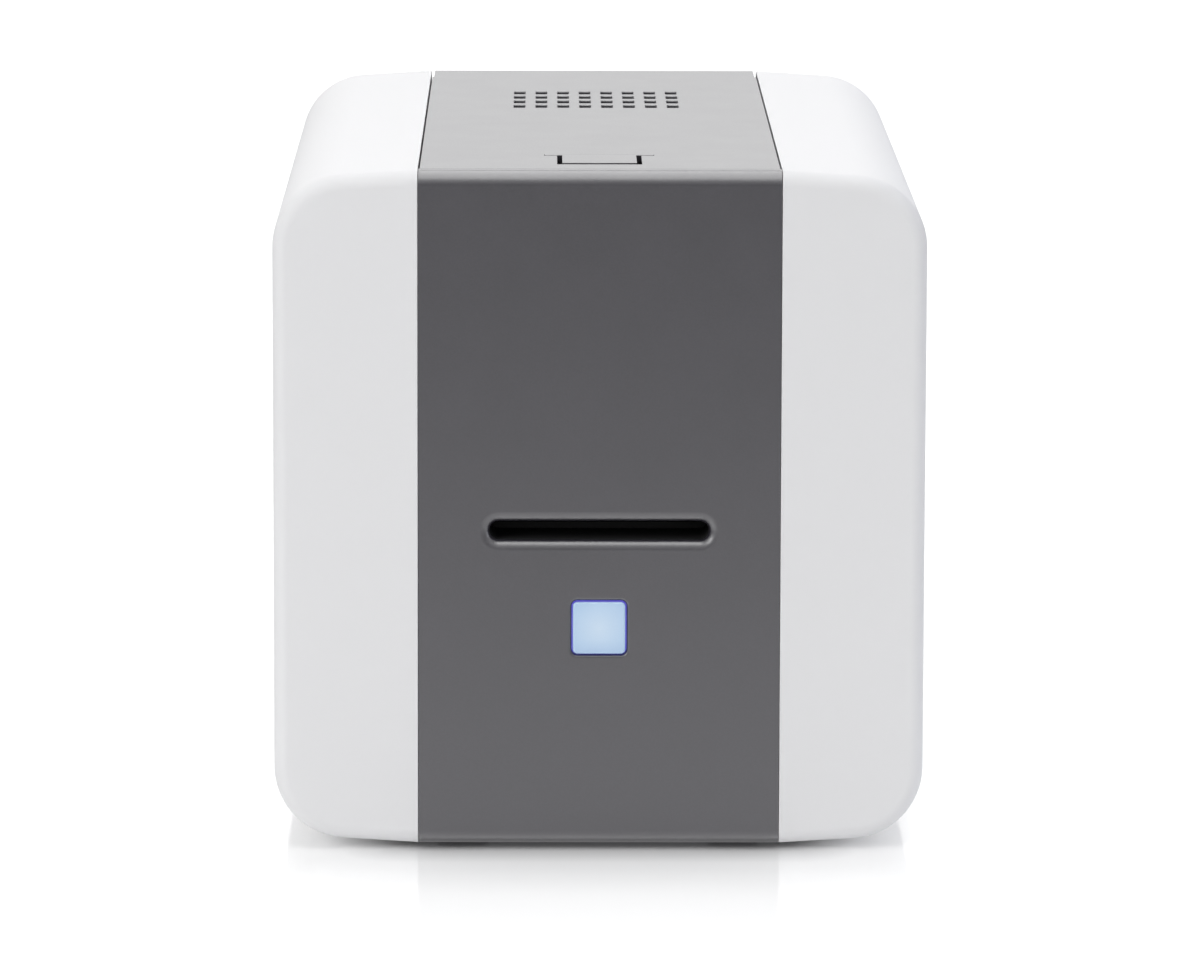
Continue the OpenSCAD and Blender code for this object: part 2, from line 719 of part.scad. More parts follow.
module ribbon_motor() {
    color(steel) difference() {
        rod_x(motor_in, motor_in + ribbon_motor_l, ribbon_motor_s, spool_z, ribbon_motor_r);
        rod_x(motor_in - 1, motor_in + 2, ribbon_motor_s, spool_z, motor_shaft_r + run_gap);
    }
}

// Ribbon cassette
spool_core_r = 8;
journal_r = 4;
journal_end = cassette_x + 2.5;
flange_r = supply_r + 0.5;
flange_x = ribbon_half + 0.5;
spool_half = cassette_x - cassette_wall / 2 - 1;
module spool(s, wound_r, rim_r) {
    color([0.16, 0.15, 0.22]) rod_x(-ribbon_half, ribbon_half, s, spool_z, wound_r);
    color(gear_white) {
        for (x = [-spool_half, flange_x]) rod_x(x, x + spool_half - flange_x, s, spool_z, rim_r);
        rod_x(-spool_half, spool_half, s, spool_z, spool_core_r);
        rod_x(-journal_end, journal_end, s, spool_z, journal_r);
    }
}
module supply_spool() { spool(supply_s, supply_r, flange_r); }
module takeup_spool() { spool(takeup_s, takeup_r, takeup_r + 3); }
takeup_dog_x = journal_end + seat_gap;
takeup_dog_l = 2;
module takeup_drive_gear() {
    color(gear_white) solid_gear(idler_teeth, takeup_s, spool_z, gear_in, 180 / idler_teeth);
    color(steel) {
        rod_x(takeup_dog_x + takeup_dog_l, shaft_out, takeup_s, spool_z, shaft_r);
        rod_x(takeup_dog_x, takeup_dog_x + takeup_dog_l, takeup_s, spool_z, journal_r);
    }
}
module ribbon_pinion() {
    color(gear_white) solid_gear(pinion_teeth, ribbon_motor_s, spool_z, gear_in);
    color(steel) rod_x(gear_in - 1, motor_in + 1.9, ribbon_motor_s, spool_z, motor_shaft_r);
}
ear_half = 3;
tower_foot = 4;
tower_low = seat_rod_z + tie_r + seat_gap;
ear_low = guide_z - guide_r;
cassette_side = [[takeup_s - tower_half, tower_low], [takeup_s - tower_foot, tower_low],
    [takeup_s - tower_foot, bridge_z], [platen_s - guide_s - ear_half, bridge_z],
    [platen_s - guide_s - ear_half, ear_low], [platen_s - guide_s + ear_half, ear_low],
    [platen_s - guide_s + ear_half, bridge_z], [platen_s + guide_s - ear_half, bridge_z],
    [platen_s + guide_s - ear_half, ear_low], [platen_s + guide_s + ear_half, ear_low],
    [platen_s + guide_s + ear_half, bridge_z], [supply_s + tower_foot, bridge_z],
    [supply_s + tower_foot, tower_low], [supply_s + tower_half, tower_low],
    [supply_s + tower_half, tower_top], [supply_s - tower_half, tower_top],
    [supply_s - tower_half, bridge_top], [takeup_s + tower_half, bridge_top],
    [takeup_s + tower_half, tower_top], [takeup_s - tower_half, tower_top]];
module ribbon_cassette() {
    color([0.55, 0.56, 0.60]) {
        for (side = [0, 1]) mirror([side, 0, 0]) difference() {
            side_cut(cassette_x - cassette_wall / 2, cassette_x + cassette_wall / 2, cassette_side);
            for (s = [takeup_s, supply_s]) rod_x(cassette_x - cassette_wall, cassette_x + cassette_wall,
                s, spool_z, journal_r + run_gap);
        }
        for (s = [takeup_s - tower_half + guide_r, supply_s + tower_half - guide_r])
            rod_x(-cassette_x, cassette_x, s, tower_top - guide_r, guide_r);
        for (s = [platen_s - guide_s, platen_s + guide_s])
            rod_x(-cassette_x, cassette_x, s, guide_z, guide_r);
    }
}
// Point where a line from p touches the circle at c, on the side given
function tangent_point(p, c, r, side) = let (d = norm(p - c), base = atan2(p[1] - c[1], p[0] - c[0]),
    a = base + side * acos(r / d)) [c[0] + r * cos(a), c[1] + r * sin(a)];
// The film runs from the take-up spool under the two guide rods and the head to the supply spool
film_wrap_r = guide_r + 0.3;
film_flat = 8;
film_lap = 0.05;
function film_half(spool_s, wound_r, guide, turn) = let (c = [spool_s, spool_z],
    wrap = arc(guide, guide_z, film_wrap_r, 270 - 55 * turn, 270, 4)) concat(
    [tangent_point(wrap[0], c, wound_r + seat_gap, turn)], wrap);
function reversed(list) = [for (i = [len(list) - 1:-1:0]) list[i]];
module film_strip(path) {
    // A thin strip whose upper face follows the path
    for (i = [0:len(path) - 2]) let (a = path[i], b = path[i + 1], d = (b - a) / norm(b - a),
        n = [d[1], -d[0]] * film_t)
        side_cut(-ribbon_half, ribbon_half,
            [a - d * film_lap, b + d * film_lap, b + n + d * film_lap, a + n - d * film_lap]);
}
module ribbon_film() {
    front_half = film_half(takeup_s, takeup_r, platen_s - guide_s, 1);
    back_half = film_half(supply_s, supply_r, platen_s + guide_s, -1);
    under_head = [for (s = [-film_flat, film_flat]) [platen_s + s, film_z + film_t]];
    color([0.16, 0.15, 0.22]) film_strip(concat(front_half, under_head, reversed(back_half)));
}

// Main board on the right shell's wall side, carried by posts from the frame plate
board_gap = 4.9;
board_t = 1.6;
board_x = body_w / 2 - wall - board_gap - board_t;
board_low = 34;
board_high = 100;
board_front = 66;
board_back = back_s - 28;
board_inset = 6;
standoff_r = 2.5;
chip_t = 2;
chip_w = 14;
chip_pitch = 34;
chip_front = board_front + 26;
chip_low = board_low + 26;
module main_board() {
    color(board_green) block(board_x, board_x + board_t, board_front, board_back, board_low, board_high);
    color(steel) for (s = [board_front + board_inset, board_back - board_inset])
        for (z = [board_low + board_inset, board_high - board_inset])
            rod_x(plate_out, board_x + lap_in, s, z, standoff_r);
    color(inner_black) for (s = [for (i = [0:3]) chip_front + chip_pitch * i])
        block(board_x - chip_t, board_x + lap_in, s, s + chip_w, chip_low, chip_low + chip_w);
}

// Head assembly, carried by the cover
head_half = 30;
wing_out = wing_x + wing_t / 2;
pin_out = wing_out + 0.5;
module head_pivot_pin() {
    color(steel) rod_x(-pin_out, pin_out, pivot_s, pivot_z, pin_r);
}
sink_top = carrier_top - 3;
sink_base = head_bottom + 4;
ear_t = 2;
carrier_out = carrier_x + ear_t / 2;
carrier_back = pivot_s + 5;
module head_carrier() {
    color(alu) difference() {
        union() {
            block(-carrier_out, carrier_out, platen_s - 10, carrier_back, sink_top, carrier_top);
            for (side = [0, 1]) mirror([side, 0, 0]) block(carrier_x - ear_t / 2, carrier_out,
                platen_s - 6, carrier_back, pivot_z - 6, carrier_top);
        }
        rod_x(-carrier_x - ear_t, carrier_x + ear_t, pivot_s, pivot_z, pin_r + run_gap);
    }
}
fin_count = 7;
fin_half = 1.2;
sink_base_t = 4;
sink_front = platen_s - 9;
sink_back = platen_s + 8;
module heat_sink() {
    color(alu) {
        block(-head_half, head_half, sink_front, sink_back, sink_base, sink_base + sink_base_t);
        for (x = spread(fin_count, 2 * (head_half - 3) / (fin_count - 1)))
            block(x - fin_half, x + fin_half, sink_front, sink_back, sink_base + sink_base_t - 1, sink_top);
    }
}
head_edge = 8;
head_flat = 2;
head_rise = 1.5;
module print_head() {
    color([0.86, 0.84, 0.78]) side_cut(-head_half, head_half, [[platen_s - head_edge, sink_base],
        [platen_s - head_edge, head_bottom + head_rise], [platen_s - head_flat, head_bottom],
        [platen_s + head_flat, head_bottom], [platen_s + head_edge, head_bottom + head_rise],
        [platen_s + head_edge, sink_base]]);
}
spring_turns = 5;
spring_r = 2.4;
spring_wire_r = 0.7;
spring_end = 0.9;
spring_rod_r = 2;
spring_cap_r = 3.6;
spring_cap_t = 1;
spring_rise = (spring_top - carrier_top - 2 * spring_end) / spring_turns;
module head_springs() {
    color(steel) for (x = [-spring_x, spring_x]) {
        rod_z(x, platen_s, carrier_top, spring_top, spring_rod_r);
        for (i = [0:spring_turns]) at_s(x, platen_s, carrier_top + spring_end + i * spring_rise)
            rotate_extrude() translate([spring_r, 0]) circle(spring_wire_r);
        rod_z(x, platen_s, spring_top - spring_cap_t, spring_top, spring_cap_r);
    }
}
cam_motor_r = 10;
cam_motor_l = 15;
cam_motor_x = cam_motor_l - wing_x + wing_t / 2;
cam_socket = 3;
cam_half = 2.5;
module cam_motor() {
    color(steel) difference() {
        rod_x(cam_motor_x - cam_motor_l, cam_motor_x, platen_s, cam_z, cam_motor_r);
        rod_x(cam_motor_x - cam_socket, cam_motor_x + 1, platen_s, cam_z, pin_r + run_gap);
    }
}
module head_cam_shaft() {
    color(steel) rod_x(cam_motor_x - cam_socket + 0.2, pin_out, platen_s, cam_z, pin_r);
    color(gear_white) for (x = [-spring_x, spring_x])
        rod_x(x - cam_half, x + cam_half, platen_s, cam_z + cam_shift, cam_r);
}

// Cover
vent_xs = spread(vent_cols, vent_pitch_x);
vent_ss = [for (o = spread(vent_rows, vent_pitch_s)) vent_mid_s + o];
tab_play = seat_gap;
module top_cover() {
    color(band_grey) difference() {
        union() {
            difference() {
                side_cut(-cover_half, cover_half, concat([[cover_front, top_z]],
                    arc(back_s - edge_r, top_z - edge_r, edge_r, 90, 0), [[back_s, skirt_low],
                    [back_s - wall, skirt_low]], arc(back_s - edge_r, top_z - edge_r, edge_r - wall, 0, 90),
                    [[cover_front, cover_under]]));
                for (side = [0, 1]) mirror([side, 0, 0]) block(cover_half - tail_step, cover_half + 1,
                    back_s - cover_tail, back_s + 1, 0, top_z + 1);
            }
            for (side = [0, 1]) mirror([side, 0, 0]) block(skirt_x, skirt_x + skirt_t, cover_front + 6,
                back_s - wall - 1, cover_under - skirt_drop, cover_under + 1);
            for (x = [-deck_boss_x, deck_boss_x]) for (s = deck_boss_s)
                rod_z(x, s, deck_z, cover_under + 1, post_r);
        }
        for (x = vent_xs) for (s = vent_ss)
            block(x - vent_w / 2, x + vent_w / 2, s - vent_l / 2, s + vent_l / 2, cover_under - 1, top_z + 1);
        block(-tab_half - tab_gap, tab_half + tab_gap, tab_front - tab_front_gap, tab_back + eps,
            cover_under - 1, top_z + 1);
        block(-tab_root - tab_play, tab_root + tab_play, tab_back - 0.4, tab_back + tab_root_l + tab_play,
            cover_under - 1, top_z + 1);
        for (x = [-deck_boss_x, deck_boss_x]) for (s = deck_boss_s)
            rod_z(x, s, deck_z - 1, cover_under, screw_r);
    }
}
skirt_x = plate_in - 2.4;
skirt_t = 1.5;
skirt_drop = 8;
deck_boss_x = wing_x - 6;
deck_boss_s = [60, platen_s - 12, back_s - 14];
tab_root_l = 2;
tab_t = 2;
tab_axis = [tab_back + tab_root_l / 2, cover_under - 1.5];
tab_axis_r = 1;
tab_rib = tab_half - 2;
hook_z = top_z - 13;
hook_s = tab_front + 1;
hook_t = 2;
hook_h = 3;
hook_reach = 1.6;
module cover_release_tab() {
    color(band_grey) difference() {
        union() {
            block(-tab_half, tab_half, tab_front, tab_back + tab_root_l, top_z - tab_t, top_z);
            block(-tab_root, tab_root, tab_back, tab_back + tab_root_l, top_z - tab_t, top_z);
            side_cut(-tab_rib, tab_rib, [[hook_s, top_z - 1], [hook_s, hook_z],
                [hook_s - hook_reach, hook_z], [hook_s, hook_z - hook_h],
                [hook_s + hook_t, hook_z - hook_h], [hook_s + hook_t, top_z - 1]]);
            side_cut(-tab_rib, tab_rib, [[tab_axis[0] - 2.2, top_z - 1],
                [tab_axis[0] - 1.9, tab_axis[1] - 1.2], [tab_axis[0] + 1.2, tab_axis[1] - 1.9],
                [tab_axis[0] + 1, top_z - 1]]);
        }
        rod_x(-tab_half, tab_half, tab_axis[0], tab_axis[1], tab_axis_r + run_gap);
    }
}
catch_s = hook_s - hook_reach - seat_gap;
catch_t = 1.5;
catch_half = 7;
catch_low = plate_top - 4 + tie_r;
module latch_catch() {
    color(steel) block(-catch_half, catch_half, catch_s - catch_t, catch_s, catch_low, hook_z + hook_h);
}
deck_front = 50;
deck_back = hinge_s + 12;
deck_side = 9;
hinge_eye_r = 9;
module cover_frame() {
    rel = [hinge_s, hinge_z];
    wing = concat([[deck_front, deck_z], [deck_front, deck_z - deck_side],
        [platen_s - 12, deck_z - deck_side],
        [platen_s - 8, cam_z - 7], [pivot_s - 8, pivot_z - 6], [pivot_s + 5, pivot_z - 6],
        [pivot_s + 6, hinge_z + 38], [hinge_s - 44, hinge_z + 38]],
        [for (q = [[-30, 22], [-9, 1]]) rel + q], arc(hinge_s, hinge_z, hinge_eye_r, 180, 410, 12),
        [for (q = [[-17.5, 17], [12, 45]]) rel + q], [[deck_back, deck_z]]);
    color(steel) {
        for (side = [0, 1]) mirror([side, 0, 0]) difference() {
            side_cut(wing_x - wing_t / 2, wing_x + wing_t / 2, wing);
            rod_x(wing_x - wing_t, wing_x + wing_t, hinge_s, hinge_z, hinge_pin_r + run_gap);
            rod_x(wing_x - wing_t, wing_x + wing_t, pivot_s, pivot_z, pin_r);
            rod_x(wing_x - wing_t, wing_x + wing_t, platen_s, cam_z, pin_r + run_gap);
        }
        difference() {
            block(-wing_out, wing_out, deck_front, deck_back, fan_top, deck_z);
            block(-fan_w / 2 - 2, fan_w / 2 + 2, vent_mid_s - fan_w / 2 + 2, vent_mid_s + fan_w / 2 - 2,
                fan_top - 1, deck_z + 1);
            for (x = [-deck_boss_x, deck_boss_x]) for (s = deck_boss_s)
                rod_z(x, s, fan_top - 1, deck_z + 1, screw_hole_r);
        }
    }
}
hinge_pin_head = 0.8;
module cover_hinge_pins() {
    color(steel) for (side = [0, 1]) mirror([side, 0, 0]) {
        rod_x(wing_x - wing_t / 2 - 1, plate_out + hinge_pin_head, hinge_s, hinge_z, hinge_pin_r);
        rod_x(plate_out, plate_out + hinge_pin_head, hinge_s, hinge_z, hinge_pin_r + 1.2);
    }
}
fan_top = deck_z - deck_t;
fan_low = fan_top - fan_t;
fan_lug = 2.5;
fan_pin_r = 1;
fan_pin_top = fan_top - 3;
spoke_w = 2.4;
spoke_t = 1.5;
hub_r = 9;
hub_plate_r = hub_r - 1;
module fan_frame() {
    color(inner_black) difference() {
        block(-fan_w / 2 - fan_lug, fan_w / 2 + fan_lug, vent_mid_s - fan_w / 2, vent_mid_s + fan_w / 2,
            fan_low, fan_top);
        rod_z(0, vent_mid_s, fan_low - 1, fan_top + 1, fan_w / 2 - 2);
    }
    color(inner_black) {
        rod_z(0, vent_mid_s, fan_low, fan_low + spoke_t, hub_plate_r);
        for (a = [45, 135]) at_s(0, vent_mid_s, fan_low) rotate(a)
            translate([-fan_w / 2 + 1, -spoke_w / 2, 0]) cube([fan_w - 2, spoke_w, spoke_t]);
        rod_z(0, vent_mid_s, fan_low, fan_pin_top, fan_pin_r);
    }
}
blade_count = 7;
blade_t = 0.9;
blade_h = 6;
blade_tilt = 35;
module fan_rotor() {
    color([0.14, 0.14, 0.15]) difference() {
        union() {
            rod_z(0, vent_mid_s, fan_low + spoke_t + seat_gap, fan_top - 1, hub_r);
            for (i = [0:blade_count - 1]) at_s(0, vent_mid_s, fan_low + spoke_t + 1)
                rotate(i * 360 / blade_count) translate([hub_r - 2, 0, 0]) rotate([blade_tilt, 0, 0])
                    cube([fan_w / 2 - hub_r - 1, blade_t, blade_h]);
        }
        rod_z(0, vent_mid_s, fan_low, fan_pin_top + 0.1, fan_pin_r + run_gap);
    }
}

// Screws, each with a pan head and a plain shank
module screw_y(x, s, z) {
    rod_y(x, s, s + screw_head_h, z, screw_head_r);
    rod_y(x, s - 5, s + eps, z, screw_r - screw_play);
}
module case_screws() {
    color(steel) {
        for (p = rear_screws) screw_y(p[0], panel_back, p[1]);
        for (p = shell_posts) for (side = [0, 1]) mirror([side, 0, 0]) {
            rod_x(plate_in - screw_head_h, plate_in, p[0], p[1], screw_head_r);
            rod_x(plate_in - eps, plate_out + screw_l - 1, p[0], p[1], screw_r - screw_play);
        }
    }
}

left_side_shell();
right_side_shell();
front_panel();
rear_panel();
base_pan();
rubber_feet();
slot_guide();
left_frame_plate();
right_frame_plate();
frame_tie_rods();
card_bed();
roller_bushes();
idler_studs();
feed_motor();
ribbon_motor();
motor_brackets();
ribbon_cassette();
ribbon_film();
main_board();
button_board();
power_inlet();
usb_port();
switch_housing();
power_rocker();
latch_catch();
case_screws();
cover_hinge_pins();
top_cover();
cover_frame();
cover_release_tab();
fan_frame();
fan_rotor();
head_pivot_pin();
head_carrier();
heat_sink();
print_head();
head_springs();
cam_motor();
head_cam_shaft();
front_button();
front_feed_roller();
front_roller_gear();
mid_feed_roller();
mid_roller_gear();
platen_roller();
platen_gear();
rear_feed_roller();
rear_roller_gear();
front_idler_gear();
mid_idler_gear();
rear_idler_gear();
motor_pinion();
front_pinch_roller();
mid_pinch_roller();
rear_pinch_roller();
cleaning_roller();
takeup_spool();
supply_spool();
takeup_drive_gear();
ribbon_pinion();
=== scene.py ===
"""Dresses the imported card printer: smooth outer mouldings, inner finishes and a plain white studio."""

import logging
import math
from dataclasses import dataclass
from enum import Enum
from typing import Iterable, Optional, Sequence

import bmesh
import bpy
from mathutils import Euler, Matrix, Vector
from mathutils.geometry import delaunay_2d_cdt


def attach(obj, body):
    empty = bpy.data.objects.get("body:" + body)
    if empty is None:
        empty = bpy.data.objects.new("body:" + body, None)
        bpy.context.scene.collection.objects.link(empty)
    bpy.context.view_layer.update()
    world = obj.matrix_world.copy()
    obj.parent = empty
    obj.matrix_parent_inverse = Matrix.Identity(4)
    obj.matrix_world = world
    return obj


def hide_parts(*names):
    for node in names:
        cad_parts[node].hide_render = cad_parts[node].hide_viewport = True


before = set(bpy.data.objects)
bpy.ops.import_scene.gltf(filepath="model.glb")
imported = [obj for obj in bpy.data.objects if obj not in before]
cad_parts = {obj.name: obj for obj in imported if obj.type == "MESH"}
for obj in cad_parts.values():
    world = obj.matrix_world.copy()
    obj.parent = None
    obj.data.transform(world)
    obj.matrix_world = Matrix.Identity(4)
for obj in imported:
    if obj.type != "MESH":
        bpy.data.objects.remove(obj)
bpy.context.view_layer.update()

# A millimetre in metres.
MM = 0.001
# Distances in metres under which points are one: in a mesh, among cells, and where cells meet the cover.
MERGE = 1e-7
CELL_MERGE = 10 * MERGE
BORDER_MERGE = 20 * MERGE
# A length beyond every piece, and how far a round end falls short of half a circle, in mm.
FAR = 500.0
SLIVER = 1e-4
# Faces round a post, a boss or a screw.
ROUND_STEPS = 32
# Scale along the grain of drawn metal, and the share of fine grain in a surface's uneven tone.
STRETCH = 0.03
GRAIN_SHARE = 0.75
# How far roughness swings round its middle, and the tones where a surface is darkest and lightest.
UNEVEN = 0.08
TONE_ENDS = (0.3, 0.7)
# Share that each finer layer of noise keeps.
NOISE_ROUGHNESS = 0.55
# Index of refraction of a plain surface and of the grey plastic, which has a strong sheen.
PLAIN_IOR = 1.5
GREY_IOR = 2.06
log = logging.getLogger("card_printer")

Pair = tuple[float, float]
Triple = tuple[float, float, float]
Span = tuple[float, float]


class Axis(Enum):
    """An axis of the printer's frame."""

    X = 0
    Y = 1
    Z = 2


class Side(Enum):
    """A side of the printer, as the sign of its x."""

    LEFT = -1
    RIGHT = 1


class Use(Enum):
    """What is done with a solid that meets a piece."""

    ADD = "UNION"
    CUT = "DIFFERENCE"


# ---------------------------------------------------------------- sizes


@dataclass(frozen=True)
class Body:
    """Outer sizes of the printer in mm. Heights are above the table, and s runs back from the front face."""

    width: float = 178.0
    depth: float = 268.0
    height: float = 186.0
    band: float = 99.0
    corner: float = 20.0
    edge: float = 4.0
    slope: float = 3.5
    wall: float = 2.5
    base: float = 1.5
    front: float = -133.7
    panel_half: float = 49.4
    plate_in: float = 45.4
    plate_out: float = 46.6
    button_z: float = 62.0
    posts: tuple[Pair, ...] = ((26.0, 24.0), (242.0, 24.0), (26.0, 138.0), (228.0, 138.0))

    @property
    def top(self) -> float:
        """Height of the band's top face."""
        return self.base + self.height

    @property
    def middle(self) -> float:
        """Height of the body's middle."""
        return self.base + self.height / 2

    def place(self, x: float, s: float, z: float) -> Vector:
        """Point of the frame, in metres, for a place on the body.

        Args:
            x: Distance to the right of the middle, in mm.
            s: Distance behind the front face, in mm.
            z: Height above the table, in mm.

        Returns:
            The point in metres.
        """
        return Vector((x, self.front + s, z)) * MM


BODY = Body()


def arc(cx: float, cy: float, radius: float, start: float, end: float, steps: int = 8) -> list[Pair]:
    """Points on an arc.

    Args:
        cx: First coordinate of the centre.
        cy: Second coordinate of the centre.
        radius: Radius of the arc.
        start: Angle of the first point, in degrees.
        end: Angle of the last point, in degrees.
        steps: Number of straight steps.

    Returns:
        The points in order, both ends included.
    """
    angles = [math.radians(start + (end - start) * i / steps) for i in range(steps + 1)]
    return [(cx + radius * math.cos(a), cy + radius * math.sin(a)) for a in angles]


def rounded(cx: float, cy: float, width: float, height: float, radius: float, steps: int = 6) -> list[Pair]:
    """Outline of a rectangle with round corners, anticlockwise.

    Args:
        cx: First coordinate of the middle.
        cy: Second coordinate of the middle.
        width: Size along the first coordinate.
        height: Size along the second coordinate.
        radius: Radius of the corners.
        steps: Straight steps in each corner.

    Returns:
        The outline's points.
    """
    right, up = width / 2 - radius, height / 2 - radius
    turns = [(right, up, 0), (-right, up, 90), (-right, -up, 180), (right, -up, 270)]
    return [p for x, y, a in turns for p in arc(cx + x, cy + y, radius, a, a + 90, steps)]


def quarter(radius: float, steps: int) -> list[Pair]:
    """How far a rounded edge stands in and back, from its face to its side.

    Args:
        radius: Radius of the rounding.
        steps: Number of steps.

    Returns:
        Pairs of (distance in from the side, distance back from the face).
    """
    angles = [math.radians(90 * i / steps) for i in range(steps + 1)]
    return [(radius * (1 - math.sin(a)), radius * (1 - math.cos(a))) for a in angles]


def crossings(point: Vector, walls: Sequence[tuple[Vector, Vector]]) -> int:
    """How many of the walls a line from the point along the first coordinate crosses.

    Args:
        point: Where the line starts.
        walls: Both ends of each wall.

    Returns:
        The number of crossings, which is odd inside the outline.
    """
    count = 0
    for a, b in walls:
        if (a.y > point.y) != (b.y > point.y):
            count += point.x < a.x + (point.y - a.y) * (b.x - a.x) / (b.y - a.y)
    return count


# ---------------------------------------------------------------- meshes


def add_object(name: str, data: bpy.types.ID) -> bpy.types.Object:
    """Puts a new object in the scene.

    Args:
        name: Name of the object.
        data: Its mesh, lamp or camera.

    Returns:
        The object, at the origin.
    """
    made = bpy.data.objects.new(name, data)
    bpy.context.scene.collection.objects.link(made)
    return made


class Shape:
    """A mesh put together from loops of points that are given as (x, s, z) in millimetres."""

    def __init__(self) -> None:
        """Starts with no points."""
        self.points: list[Triple] = []
        self.faces: list[tuple[int, ...]] = []

    @staticmethod
    def along(axis: Axis, place: float, first: float, second: float) -> Triple:
        """The point at a place along an axis.

        Args:
            axis: The axis.
            place: The coordinate along it.
            first: The first of the two other coordinates.
            second: The second of them.

        Returns:
            The point as (x, s, z).
        """
        point = [first, second]
        point.insert(axis.value, place)
        return tuple(point)

    def loop(self, points: Iterable[Triple]) -> list[int]:
        """Adds points and returns their numbers.

        Args:
            points: The points as (x, s, z) in mm.

        Returns:
            The new points' numbers in order.
        """
        start = len(self.points)
        self.points.extend(tuple(p) for p in points)
        return list(range(start, len(self.points)))

    def bridge(self, first: Sequence[int], second: Sequence[int], closed: bool = True) -> None:
        """Joins two loops of the same length with four-sided faces.

        Args:
            first: Numbers of one loop's points.
            second: Numbers of the other loop's points.
            closed: True if the last point also joins to the first.
        """
        count = len(first)
        for i in range(count if closed else count - 1):
            j = (i + 1) % count
            self.faces.append((first[i], first[j], second[j], second[i]))

    def skin(self, rings: Sequence[Sequence[int]], closed: bool = True) -> None:
        """Joins each ring to the next one."""
        for a, b in zip(rings, rings[1:]):
            self.bridge(a, b, closed)

    def cap(self, loop: Sequence[int]) -> None:
        """Closes a loop with one flat face."""
        self.faces.append(tuple(loop))

    def fill(self, outer: Sequence[int], holes: Sequence[Sequence[int]], flat: Axis) -> None:
        """Fills a flat outline round its holes.

        Args:
            outer: Numbers of the outline's points.
            holes: Numbers of each hole's points.
            flat: The axis that the face looks along.
        """
        keep = [i for i in range(3) if i != flat.value]
        loops = [list(outer), *[list(h) for h in holes]]
        ids = [n for loop in loops for n in loop]
        flat_points = [Vector([self.points[n][k] for k in keep]) for n in ids]
        edges, start = [], 0
        for loop in loops:
            edges += [(start + i, start + (i + 1) % len(loop)) for i in range(len(loop))]
            start += len(loop)
        made = delaunay_2d_cdt(flat_points, edges, [], 0, MERGE)
        origin = [ids[o[0]] for o in made[3]]
        walls = [(flat_points[a], flat_points[b]) for a, b in edges]
        for face in made[2]:
            middle = sum((made[0][v] for v in face), Vector((0.0, 0.0))) / len(face)
            if crossings(middle, walls) % 2:
                self.faces.append(tuple(origin[v] for v in face))

    def prism(self, outline: Sequence[Pair], span: Span, along: Axis) -> None:
        """Adds a closed straight block.

        Args:
            outline: Points across the block: (s, z) along X, (x, z) along Y, or (x, s) along Z.
            span: Where the block starts and ends along its axis.
            along: The block's axis.
        """
        ends = [self.loop(self.along(along, h, *p) for p in outline) for h in span]
        self.bridge(*ends)
        for end in ends:
            self.cap(end)

    def turned(self, profile: Sequence[Pair], centre: Pair, along: Axis, steps: int = 40) -> None:
        """Adds a closed solid of revolution.

        Args:
            profile: Points (place along the axis, radius). A first or last radius of 0 closes the end.
            centre: Place of the axis: (s, z) along X, (x, z) along Y, or (x, s) along Z.
            along: The axis.
            steps: Faces round the axis.
        """
        turn = [2 * math.pi * i / steps for i in range(steps)]
        rings = []
        for place, radius in profile:
            around = [(centre[0] + radius * math.cos(a), centre[1] + radius * math.sin(a)) for a in turn]
            rings.append(self.loop(self.along(along, place, *p) for p in around))
        self.skin(rings)
        self.cap(rings[0])
        self.cap(rings[-1])

    def build(self, name: str) -> bpy.types.Object:
        """Turns the faces into a mesh object whose faces look outwards.

        Args:
            name: Name of the piece.

        Returns:
            The new object, at the origin, with its place in its mesh.
        """
        mesh = bpy.data.meshes.new(name)
        mesh.from_pydata([BODY.place(*p) for p in self.points], [], self.faces)
        form = bmesh.new()
        form.from_mesh(mesh)
        bmesh.ops.remove_doubles(form, verts=form.verts, dist=MERGE)
        bmesh.ops.recalc_face_normals(form, faces=form.faces)
        form.to_mesh(mesh)
        form.free()
        return add_object(name, mesh)


def plain_mesh(piece: bpy.types.Object) -> bpy.types.Object:
    """Turns a piece and its modifiers into a plain mesh and removes the modifiers.

    Args:
        piece: The object to turn into a plain mesh.

    Returns:
        The same object.
    """
    graph = bpy.context.evaluated_depsgraph_get()
    result = piece.evaluated_get(graph)
    made = bpy.data.meshes.new_from_object(result, preserve_all_data_layers=True, depsgraph=graph)
    old = piece.data
    piece.modifiers.clear()
    piece.data = made
    made.name = piece.name
    if old.users == 0:
        bpy.data.meshes.remove(old)
    return piece


def soften(piece: bpy.types.Object, edge: float, steps: int = 2, angle: float = 35.0) -> bpy.types.Object:
    """Rounds the sharp edges a little and shades the faces as one smooth moulding.

    Args:
        piece: The object to finish.
        edge: Width of the rounding in mm, or 0 for none.
        steps: Faces across the rounding.
        angle: Edges that turn more than this many degrees are sharp.

    Returns:
        The same object, with a plain mesh.
    """
    piece.data.shade_smooth()
    if edge > 0:
        bevel = piece.modifiers.new("edge", "BEVEL")
        bevel.width = edge * MM
        bevel.segments = steps
        bevel.limit_method = "ANGLE"
        bevel.angle_limit = math.radians(angle)
        bevel.use_clamp_overlap = True
        bevel.harden_normals = False
    else:
        piece.data.set_sharp_from_angle(angle=math.radians(angle))
    weighted = piece.modifiers.new("normals", "WEIGHTED_NORMAL")
    weighted.keep_sharp = True
    return plain_mesh(piece)


def discard(piece: bpy.types.Object) -> None:
    """Removes an object and its mesh.

    Args:
        piece: The object.
    """
    mesh = piece.data
    bpy.data.objects.remove(piece)
    bpy.data.meshes.remove(mesh)


